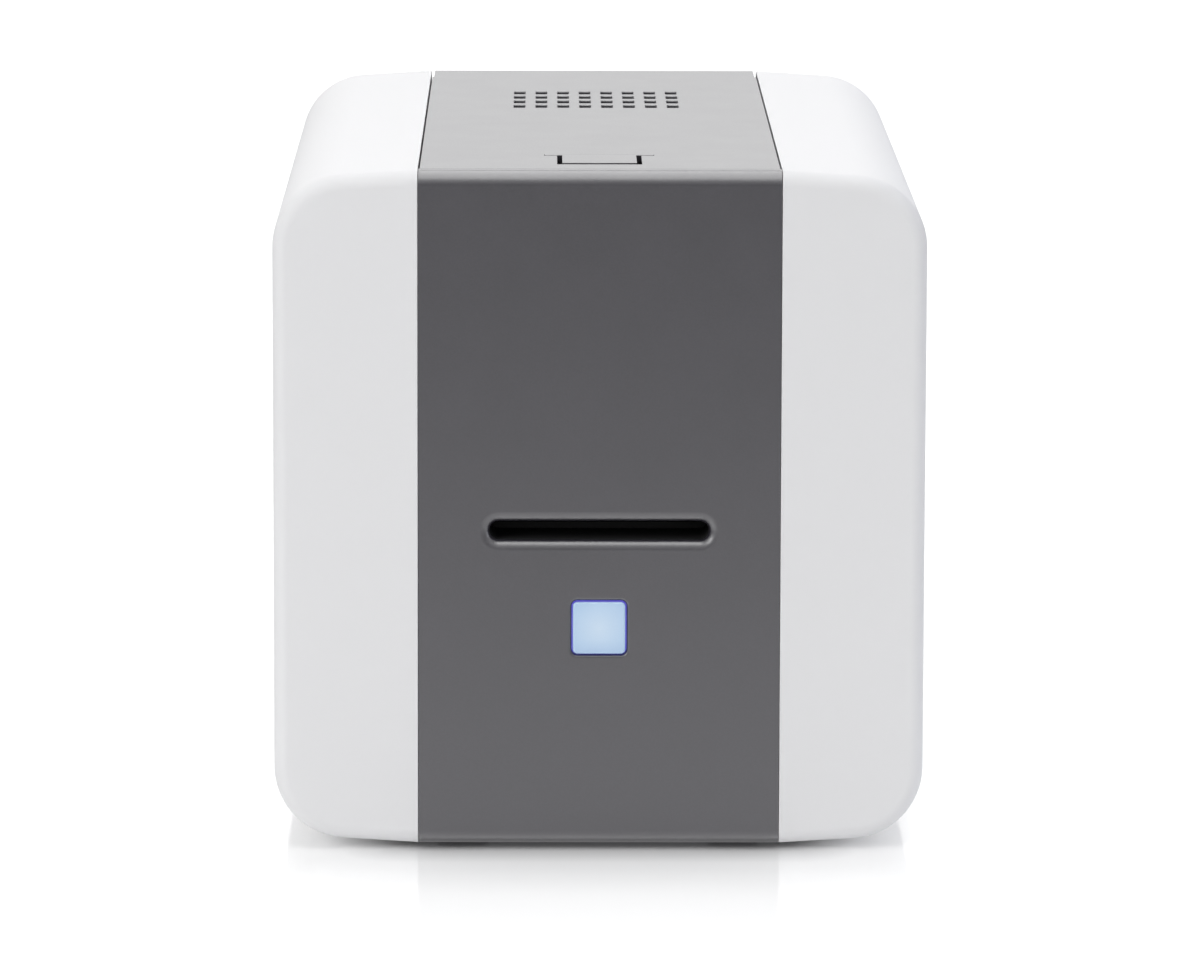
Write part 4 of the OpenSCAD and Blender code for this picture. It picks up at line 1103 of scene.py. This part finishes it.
@dataclass
class TopCover:
    """The hinged grey cover: a flat top with vents and the tab's opening, and a wall down the back."""

    half: float = 49.0
    start: float = 6.05
    tail: float = 22.0
    tail_step: float = 0.5
    low: float = 126.0
    columns: int = 8
    rows: int = 4
    vent: Pair = (3.3, 7.5)
    pitch: Pair = (6.4, 12.3)
    vent_s: float = 181.8
    vent_edge: float = 0.35
    vent_corner: float = 0.5
    vent_steps: int = 3
    tab_half: float = 11.6
    tab_span: Span = (16.5, 37.2)
    root_half: float = 15.15
    root_end: float = 40.15
    rim_edge: float = 0.12
    boss: Pair = (1.3, 4.0)
    skirt: Span = (43.0, 44.5)
    skirt_set_back: float = 6.0
    skirt_low: float = 177.0
    overlap: float = 1.0
    boss_x: float = 35.5
    boss_s: tuple[float, ...] = (60.0, 138.0, 254.0)
    boss_low: float = 181.5

    @property
    def under(self) -> float:
        """Height of the cover's underside."""
        return BODY.top - BODY.wall

    def vent_outline(self, grow: float) -> list[Pair]:
        """The (x, s) outline of a vent at the origin, larger all round by grow."""
        width, length = (size + 2 * grow for size in self.vent)
        return rounded(0, -BODY.front, width, length, self.vent_corner + grow, self.vent_steps)

    def vent_cell(self) -> bpy.types.Object:
        """One rectangle of the cover with a vent through it, centred on the origin.

        Returns:
            The cell's object.
        """
        shape = Shape()
        wide, deep = self.pitch[0] / 2, self.pitch[1] / 2
        corners = [(-wide, -deep), (wide, -deep), (wide, deep), (-wide, deep)]
        outer = [shape.loop((x, s - BODY.front, z) for x, s in corners) for z in (BODY.top, self.under)]
        rings = [shape.loop((x, s, BODY.top - drop) for x, s in self.vent_outline(grow))
                 for grow, drop in quarter(self.vent_edge, self.vent_steps)]
        rings.append(shape.loop((x, s, self.under) for x, s in self.vent_outline(0.0)))
        shape.skin(rings)
        shape.fill(outer[0], [rings[0]], Axis.Z)
        shape.fill(outer[1], [rings[-1]], Axis.Z)
        return shape.build("vent_cell")

    def vents(self, material: bpy.types.Material) -> bpy.types.Object:
        """The block of vents, laid out by Geometry Nodes.

        Args:
            material: Material of the block.

        Returns:
            The block's object.
        """
        block = add_object("vents", bpy.data.meshes.new("vents"))
        middle = BODY.place(0, self.vent_s, 0)
        return Pattern.run(block, Pattern.grid(), self.vent_cell(), {
            "Columns": self.columns, "Rows": self.rows, "Column Pitch": self.pitch[0] * MM,
            "Row Pitch": self.pitch[1] * MM, "Middle": middle, "Material": material})

    def vent_border(self) -> list[Pair]:
        """The (x, s) outline of the block of vents, with a point at each cell's corner.

        Returns:
            The outline's points.
        """
        wide, deep = self.columns * self.pitch[0] / 2, self.rows * self.pitch[1] / 2
        xs = [-wide + i * self.pitch[0] for i in range(self.columns)]
        ss = [-deep + i * self.pitch[1] for i in range(self.rows)]
        around = [(x, -deep) for x in xs] + [(wide, s) for s in ss]
        around += [(-x, deep) for x in xs] + [(-wide, -s) for s in ss]
        return [(x, self.vent_s + s) for x, s in around]

    def tab_opening(self) -> list[Pair]:
        """The (x, s) outline of the release tab's opening.

        Returns:
            The outline's points.
        """
        near, far = self.tab_span
        right = [(self.tab_half, near), (self.tab_half, far),
                 (self.root_half, far), (self.root_half, self.root_end)]
        return right + [(-x, s) for x, s in reversed(right)]

    def slab(self) -> Shape:
        """The cover's skin without its vents.

        Returns:
            The skin, open where the vents go.
        """
        shape = Shape()
        wall, edge, depth = BODY.wall, BODY.edge, BODY.depth
        step = depth - self.tail
        narrow = self.half - self.tail_step
        layers = []
        for inset in (0.0, wall):
            bend = arc(depth - edge, BODY.top - edge, edge - inset, 90, 0)
            line = [*bend, (depth - inset, self.low)]
            sides = [shape.loop((x, s, z) for s, z in line) for x in (-narrow, narrow)]
            shape.bridge(*sides, closed=False)
            z = BODY.top - inset
            front = shape.loop([(-narrow, step, z), (-self.half, step, z), (-self.half, self.start, z),
                                (self.half, self.start, z), (self.half, step, z), (narrow, step, z)])
            tab = shape.loop((x, s, z) for x, s in self.tab_opening())
            block = shape.loop((x, s, z) for x, s in self.vent_border())
            shape.fill([*front, sides[1][0], sides[0][0]], [tab, block], Axis.Z)
            layers.append((sides, front, tab))
        (top_sides, top_front, top_tab), (low_sides, low_front, low_tab) = layers
        shape.bridge(top_front, low_front, closed=False)
        shape.bridge(top_tab, low_tab)
        for side, end in ((0, 0), (1, -1)):
            shape.bridge([top_front[end], *top_sides[side]], [low_front[end], *low_sides[side]], closed=False)
        shape.cap([top_sides[0][-1], top_sides[1][-1], low_sides[1][-1], low_sides[0][-1]])
        return shape

    def ribs(self) -> Shape:
        """The skirts along both sides and the bosses for the cover's frame.

        Returns:
            The skirts and bosses, which reach into the skin.
        """
        shape = Shape()
        inside = self.under + self.overlap
        thin, thick = self.skirt
        near, far = self.start + self.skirt_set_back, BODY.depth - BODY.wall - self.overlap
        bore, radius = self.boss
        boss = [(self.under, bore), (self.boss_low, bore), (self.boss_low, radius), (inside, radius)]
        for side in Side:
            corners = ((thin, near), (thick, near), (thick, far), (thin, far))
            shape.prism([(side.value * x, s) for x, s in corners], (self.skirt_low, inside), Axis.Z)
            for s in self.boss_s:
                shape.turned(boss, (side.value * self.boss_x, s), Axis.Z, ROUND_STEPS)
        return shape

    def make(self) -> None:
        """Builds the cover and puts it in place of its node."""
        material = Finish("cover_grey", GREY, ior=GREY_IOR).material()
        cover = self.slab().build("cover_moulding")
        vents = self.vents(material)
        form = bmesh.new()
        form.from_mesh(cover.data)
        form.from_mesh(vents.data)
        bmesh.ops.remove_doubles(form, verts=form.verts, dist=BORDER_MERGE)
        bmesh.ops.recalc_face_normals(form, faces=form.faces)
        open_edges = sum(1 for e in form.edges if not e.is_manifold)
        form.to_mesh(cover.data)
        form.free()
        discard(vents)
        log.info("cover has %d open edges", open_edges)
        join_solids(cover, self.ribs().build("cover_ribs"))
        soften(cover, self.rim_edge)
        fit(cover, material, "cover", "top_cover")


@dataclass
class ReleaseTab:
    """The spring tab in the cover's front, with its hook and its bearing, which is measured from its axis."""

    half: float = 10.2
    root_half: float = 15.0
    front: float = 19.9
    root: float = 38.0
    back: float = 40.0
    thick: float = 2.0
    hook_z: float = 174.5
    hook_in: float = 1.0
    hook_out: float = 0.6
    hook_high: float = 3.0
    hook_thick: float = 2.0
    axis: Pair = (39.0, 183.5)
    bore: float = 1.05
    bore_steps: int = 24
    bearing_top: Span = (-2.2, 1.0)
    bearing_low: tuple[Pair, ...] = ((-1.9, -1.2), (1.2, -1.9))
    front_round: float = 0.12
    rib_in: float = 2.0
    overlap: float = 1.0
    rim_edge: float = 0.05

    def make(self) -> None:
        """Builds the tab and puts it in place of its node."""
        top = BODY.top
        low, inside = top - self.thick, top - self.overlap
        nose = arc(self.front + self.front_round, top - self.front_round, self.front_round, 180, 90)
        plate = [(self.front, low), *nose, (self.back, top), (self.back, low)]
        root = [(self.root, low), (self.root, top), (self.back, top), (self.back, low)]
        near, far = self.front + self.hook_in, self.front + self.hook_in + self.hook_thick
        hook_low = self.hook_z - self.hook_high
        hook = [(near, inside), (near, self.hook_z), (self.front - self.hook_out, self.hook_z),
                (near, hook_low), (far, hook_low), (far, inside)]
        s, z = self.axis
        bearing = [(s + self.bearing_top[0], inside), *((s + back, z + up) for back, up in self.bearing_low),
                   (s + self.bearing_top[1], inside)]
        rib_half = self.half - self.rib_in
        made = []
        for name, half, line in (("release_tab", self.half, plate), ("root", self.root_half, root),
                                 ("hook", rib_half, hook), ("bearing", rib_half, bearing)):
            shape = Shape()
            shape.prism(line, (-half, half), Axis.X)
            made.append(shape.build(name))
        piece, *others = made
        join_solids(piece, *others)
        pin = Shape()
        pin.turned([(-self.half, self.bore), (self.half, self.bore)], self.axis, Axis.X, self.bore_steps)
        combine(piece, pin.build("bore"), Use.CUT)
        soften(piece, self.rim_edge, 1)
        material = Finish("tab_grey", GREY, ior=GREY_IOR).material()
        fit(piece, material, "release_tab", "cover_release_tab")


@dataclass
class LitButton:
    """The square button: a frosted lens that is lit from behind, on a flange and a stem."""

    size: float = 14.3
    corner: float = 1.22
    out: float = 0.6
    edge: float = 0.55
    edge_steps: int = 4
    flange: float = 17.3
    flange_corner: float = 1.2
    flange_s: Span = (2.8, 4.0)
    stem: float = 7.0
    stem_radius: float = 2.0
    overlap: float = 0.2
    roughness: float = 0.25
    frost_grain: float = 0.25
    frost_depth: float = 0.004
    frost_rough: float = 0.1
    body: tuple[Triple, Triple] = ((0.42, 0.50, 0.62), (0.47, 0.55, 0.66))
    bright: Triple = (0.36, 0.46, 0.54)
    bright_reach: float = 9.5
    outer: Triple = (0.118, 0.268, 0.435)
    low: Triple = (0.115, 0.24, 0.405)
    low_fade: Span = (-3.5, -7.5)
    rim: Triple = (0.10, 0.08, 0.55)
    rim_fade: Span = (-0.1, 0.25)
    strength: float = 0.64

    def lens(self) -> bpy.types.Material:
        """The lens: brightest in the middle, a little darker low down, with a violet rim behind its face.

        Returns:
            The lens's material.
        """
        graph = Graph.material("lit_lens")
        parts = graph.add("ShaderNodeSeparateXYZ", Vector=graph.point).outputs
        up = graph.math("SUBTRACT", parts[2], BODY.button_z * MM)
        middle = graph.ranged(graph.length(parts[0], up), 0.0, self.bright_reach * MM)
        face = graph.blend(middle, self.bright, self.outer, colour=True)
        low = graph.ranged(up, *(height * MM for height in self.low_fade))
        face = graph.blend(low, face, self.low, colour=True)
        deep = graph.ranged(parts[1], *((BODY.front + s) * MM for s in self.rim_fade))
        glow = graph.blend(deep, face, self.rim, colour=True)
        frost = graph.noise(self.frost_grain)
        height = graph.math("MULTIPLY", frost, self.frost_depth)
        relief = graph.add("ShaderNodeBump", Height=height, Distance=MM)
        rough = graph.math("ADD", graph.math("MULTIPLY", frost, self.frost_rough), self.roughness)
        return graph.close(Base_Color=graph.blend(frost, *self.body, colour=True), Roughness=rough,
                           Normal=relief.outputs[0], Emission_Color=glow, Emission_Strength=self.strength)

    def make(self) -> None:
        """Builds the button and puts it in place of its node."""
        shape = Shape()
        near, far = self.flange_s
        places = [(self.size - 2 * grow, self.corner - grow, s - self.out)
                  for grow, s in quarter(self.edge, self.edge_steps)]
        places += [(self.size, self.corner, near), (self.flange, self.flange_corner, near),
                   (self.flange, self.flange_corner, far)]
        rings = [shape.loop((x, s, z) for x, z in rounded(0, BODY.button_z, size, size, radius))
                 for size, radius, s in places]
        shape.skin(rings)
        shape.cap(rings[0])
        shape.cap(rings[-1])
        piece = shape.build("button_lens")
        stem = Shape()
        stem.turned([(far - self.overlap, self.stem_radius), (self.stem, self.stem_radius)],
                    (0, BODY.button_z), Axis.Y, ROUND_STEPS)
        join_solids(piece, stem.build("stem"))
        soften(piece, 0.0)
        fit(piece, self.lens(), "button", "front_button")


@dataclass
class CaseScrews:
    """Pan head screws with a cross recess, laid out by Geometry Nodes.

    The tip is (length, radius), and the dome's points are (height, share of the head's radius).
    """

    head: float = 2.6
    dome: tuple[Pair, ...] = ((0.9, 1.0), (1.35, 0.86), (1.65, 0.62), (1.8, 0.3))
    shank: float = 1.25
    tip: Pair = (0.8, 0.4)
    cross: Pair = (0.35, 1.35)
    cross_span: Span = (0.75, 3.0)
    rear_shank: float = 5.0
    post_shank: float = 8.2
    rear_s: float = 265.0
    rear: tuple[Pair, ...] = ((-40.4, 16.0), (-40.4, 113.0), (40.4, 16.0), (40.4, 113.0))

    def screw(self, shank: float) -> bpy.types.Object:
        """A screw at the origin with its head towards +Z.

        Args:
            shank: Length of its shank, in mm.

        Returns:
            The screw's mesh object.
        """
        mid = -BODY.front
        body = Shape()
        length, point = self.tip
        profile = [(-shank, point), (-shank + length, self.shank), (0, self.shank), (0, self.head)]
        profile += [(height, self.head * share) for height, share in self.dome]
        body.turned(profile, (0, mid), Axis.Z, ROUND_STEPS)
        piece = body.build("screw")
        cross = Shape()
        arm, reach = self.cross
        line = [(arm, arm), (arm, reach), (-arm, reach), (-arm, arm), (-reach, arm), (-reach, -arm),
                (-arm, -arm), (-arm, -reach), (arm, -reach), (arm, -arm), (reach, -arm), (reach, arm)]
        cross.prism([(x, mid + s) for x, s in line], self.cross_span, Axis.Z)
        combine(piece, cross.build("cross"), Use.CUT)
        return piece

    def make(self) -> None:
        """Builds all the screws as one piece in place of their node."""
        material = Finish("screw_steel", ZINC).material()
        group = Pattern.points()
        upright = math.radians(90)
        sets = [([(x, self.rear_s, z) for x, z in self.rear], self.rear_shank, (-upright, 0.0, 0.0))]
        for side in (Side.RIGHT.value, Side.LEFT.value):
            sets.append(([(side * BODY.plate_in, s, z) for s, z in BODY.posts], self.post_shank,
                         (0.0, -side * upright, 0.0)))
        form = bmesh.new()
        for number, (places, shank, turn) in enumerate(sets):
            seats = Shape()
            seats.loop(places)
            batch = seats.build(f"screws_{number}")
            Pattern.run(batch, group, self.screw(shank), {"Turn": Euler(turn), "Material": material})
            form.from_mesh(batch.data)
            discard(batch)
        mesh = bpy.data.meshes.new("case_screw_set")
        form.to_mesh(mesh)
        form.free()
        piece = add_object("case_screw_set", mesh)
        soften(piece, 0.0, angle=40)
        fit(piece, material, "chassis", "case_screws")


# ---------------------------------------------------------------- studio


@dataclass(frozen=True)
class Lamp:
    """One soft box: its place, the point it looks at, its width and height, all in metres, and its watts."""

    name: str
    place: Triple
    aim: Triple
    size: Pair
    power: float
    colour: Triple = (1.0, 1.0, 1.0)

    def make(self) -> None:
        """Adds the soft box to the scene."""
        data = bpy.data.lights.new(self.name, "AREA")
        data.shape = "RECTANGLE"
        data.size, data.size_y = self.size
        data.energy, data.color = self.power, self.colour
        lamp = add_object(self.name, data)
        lamp.visible_camera = False
        lamp.location = self.place
        lamp.rotation_euler = (Vector(self.aim) - Vector(self.place)).to_track_quat("-Z", "Y").to_euler()


@dataclass
class Studio:
    """A white floor and sweep, soft lamps and the camera."""

    floor_half: float = 9.0
    focal: float = 225.0
    sensor: float = 36.0
    pitch: float = 9.03
    yaw: float = 0.439
    roll: float = 0.149
    clip: Span = (0.05, 60.0)
    stand: Triple = (-0.0153, -2.1515, 0.4236)
    ambient: float = 0.23
    floor_near: float = 0.90
    floor_far: float = 0.40
    floor_fade: Span = (0.3, 1.2)
    floor_gloss: float = 0.24
    floor_rough: float = 0.09
    speckle: float = 0.01
    speckle_grain: float = 120.0
    # Glow the camera sees on the floor, by distance from the printer's foot: least at the foot, so it paints
    # a contact shadow on top of the real one.
    lift_with_painted_shadow: tuple[Pair, ...] = ((0.0, 0.0), (17.0, 0.245), (60.0, 0.425), (250.0, 0.565), (1200.0, 0.85))
    foot_half: Pair = (54.0, 133.0)
    mirror_lift: tuple[Pair, ...] = ((0.0, 0.42), (60.0, 0.50), (250.0, 0.44), (1200.0, 0.03))
    front_level: float = 0.33
    front_fade: Pair = (-0.85, -0.1)
    upper_fade: Pair = (0.05, 0.55)
    lamps: tuple[Lamp, ...] = (
        Lamp("overhead", (0.0, -0.1, 1.6), (0.0, -0.1, 0.1), (0.5, 3.0), 16.4),
        Lamp("behind", (0.0, 2.4, 1.05), (0.0, 0.0, 0.2), (3.0, 1.2), 11.2),
        Lamp("front_left", (-1.45, -1.6, 1.05), (0.0, 0.0, 0.1), (1.4, 1.0), 16.5),
        Lamp("right", (2.1, -0.15, 0.6), (0.0, 0.0, 0.1), (1.2, 1.0), 8.8, (0.86, 0.89, 1.0)))

    def away(self, graph: Graph) -> bpy.types.NodeSocket:
        """Distance in metres from the printer's foot, for the floor's material.

        Args:
            graph: The floor's tree.

        Returns:
            The distance's socket.
        """
        parts = graph.add("ShaderNodeSeparateXYZ", Vector=graph.point).outputs
        beyond = [graph.math("SUBTRACT", graph.math("ABSOLUTE", part), half * MM)
                  for part, half in zip(parts, self.foot_half)]
        return graph.length(*(graph.math("MAXIMUM", part, 0.0) for part in beyond))

    @staticmethod
    def stepped(graph: Graph, away: bpy.types.NodeSocket, table: Sequence[Pair]) -> bpy.types.NodeSocket:
        """A level that follows a table in straight lines.

        Args:
            graph: The tree to add to.
            away: Source of the distance, in metres.
            table: Pairs of (distance in mm, level).

        Returns:
            The level's socket.
        """
        level = table[0][1]
        for (near, low), (far, high) in zip(table, table[1:]):
            share = graph.ranged(away, near * MM, far * MM)
            level = graph.math("ADD", level, graph.math("MULTIPLY", share, high - low))
        return level

    def floor(self) -> None:
        """A white floor that keeps the printer's real shadow, adds a painted contact shadow round its foot,
        and shows a faint reflection.
        """
        bpy.ops.mesh.primitive_plane_add(size=2 * self.floor_half)
        plane = bpy.context.object
        plane.name = "floor"
        graph = Graph.material("floor_white")
        away = self.away(graph)
        tone = graph.blend(graph.ranged(away, *self.floor_fade), self.floor_near, self.floor_far)
        speckle = graph.math("MULTIPLY", graph.noise(self.speckle_grain), 2 * self.speckle)
        tone = graph.math("MULTIPLY", tone, graph.math("ADD", speckle, 1.0 - self.speckle))
        white = graph.add("ShaderNodeCombineColor", Red=tone, Green=tone, Blue=tone).outputs[0]
        matt = graph.add("ShaderNodeBsdfDiffuse", Color=white)
        gloss = graph.add("ShaderNodeBsdfAnisotropic", Roughness=self.floor_rough)
        both = graph.add("ShaderNodeMixShader", Fac=self.floor_gloss)
        path = graph.add("ShaderNodeLightPath").outputs
        mirrored = graph.math("MAXIMUM", path["Is Glossy Ray"], path["Is Transmission Ray"])
        # Painted contact shadow: the camera's glow on the floor is smallest at the printer's foot and grows
        # away from it.
        seen = graph.math("MULTIPLY", path["Is Camera Ray"], self.stepped(graph, away, self.lift_with_painted_shadow))
        reflected = graph.math("MULTIPLY", mirrored, self.stepped(graph, away, self.mirror_lift))
        lift = graph.add("ShaderNodeEmission", Strength=graph.math("ADD", seen, reflected))
        total = graph.add("ShaderNodeAddShader")
        for node, shaders in ((both, {1: matt, 2: gloss}), (total, {0: both, 1: lift})):
            for number, shader in shaders.items():
                graph.put(node.inputs[number], shader.outputs[0])
        plane.data.materials.append(graph.end(total))

    def world(self) -> None:
        """A white surround: plain for the camera, dimmer from the front in reflections, soft as a light."""
        graph = Graph(bpy.data.worlds.new("studio"), "Generated")
        bpy.context.scene.world = graph.owner
        path = graph.add("ShaderNodeLightPath").outputs
        seen = path["Is Camera Ray"]
        for name in ("Is Glossy Ray", "Is Transmission Ray"):
            seen = graph.math("MAXIMUM", seen, path[name])
        ways = graph.add("ShaderNodeSeparateXYZ", Vector=graph.point).outputs
        white = path["Is Camera Ray"]
        for way, (low, high) in ((ways[1], self.front_fade), (ways[2], self.upper_fade)):
            fade = graph.add("ShaderNodeMapRange", Value=way, From_Min=low, From_Max=high,
                             To_Min=self.front_level)
            white = graph.math("MAXIMUM", white, fade.outputs[0])
        level = graph.add("ShaderNodeMapRange", Value=seen, To_Min=self.ambient, To_Max=white)
        graph.end(graph.add("ShaderNodeBackground", Color=(1.0, 1.0, 1.0), Strength=level.outputs[0]),
                  "ShaderNodeOutputWorld")

    def camera(self) -> None:
        """The camera, with its pitch, yaw and small roll."""
        data = bpy.data.cameras.new("camera")
        data.lens, data.sensor_width, data.sensor_fit = self.focal, self.sensor, "HORIZONTAL"
        data.clip_start, data.clip_end = self.clip
        camera = add_object("camera", data)
        pitch, yaw, roll = (math.radians(a) for a in (self.pitch, self.yaw, self.roll))
        ahead = Vector((math.sin(yaw) * math.cos(pitch), math.cos(yaw) * math.cos(pitch), -math.sin(pitch)))
        right = ahead.cross(Vector((0, 0, 1))).normalized()
        up = right.cross(ahead)
        right, up = (right * math.cos(roll) + up * math.sin(roll),
                     up * math.cos(roll) - right * math.sin(roll))
        turn = Matrix((right, up, -ahead)).transposed()
        camera.matrix_world = Matrix.Translation(Vector(self.stand)) @ turn.to_4x4()
        bpy.context.scene.camera = camera

    def make(self) -> None:
        """Builds the whole studio."""
        self.floor()
        self.world()
        for lamp in self.lamps:
            lamp.make()
        self.camera()
        bpy.context.scene.view_settings.view_transform = "Standard"


def main() -> None:
    """Builds the printer's looks and the studio, in order."""
    logging.basicConfig(level=logging.INFO, format="%(name)s: %(message)s")
    Studio().make()
    InnerParts().dress()
    SideShells().make()
    FrontPanel().make()
    TopCover().make()
    ReleaseTab().make()
    LitButton().make()
    CaseScrews().make()
    bpy.context.view_layer.update()


if __name__ == "__main__":
    main()
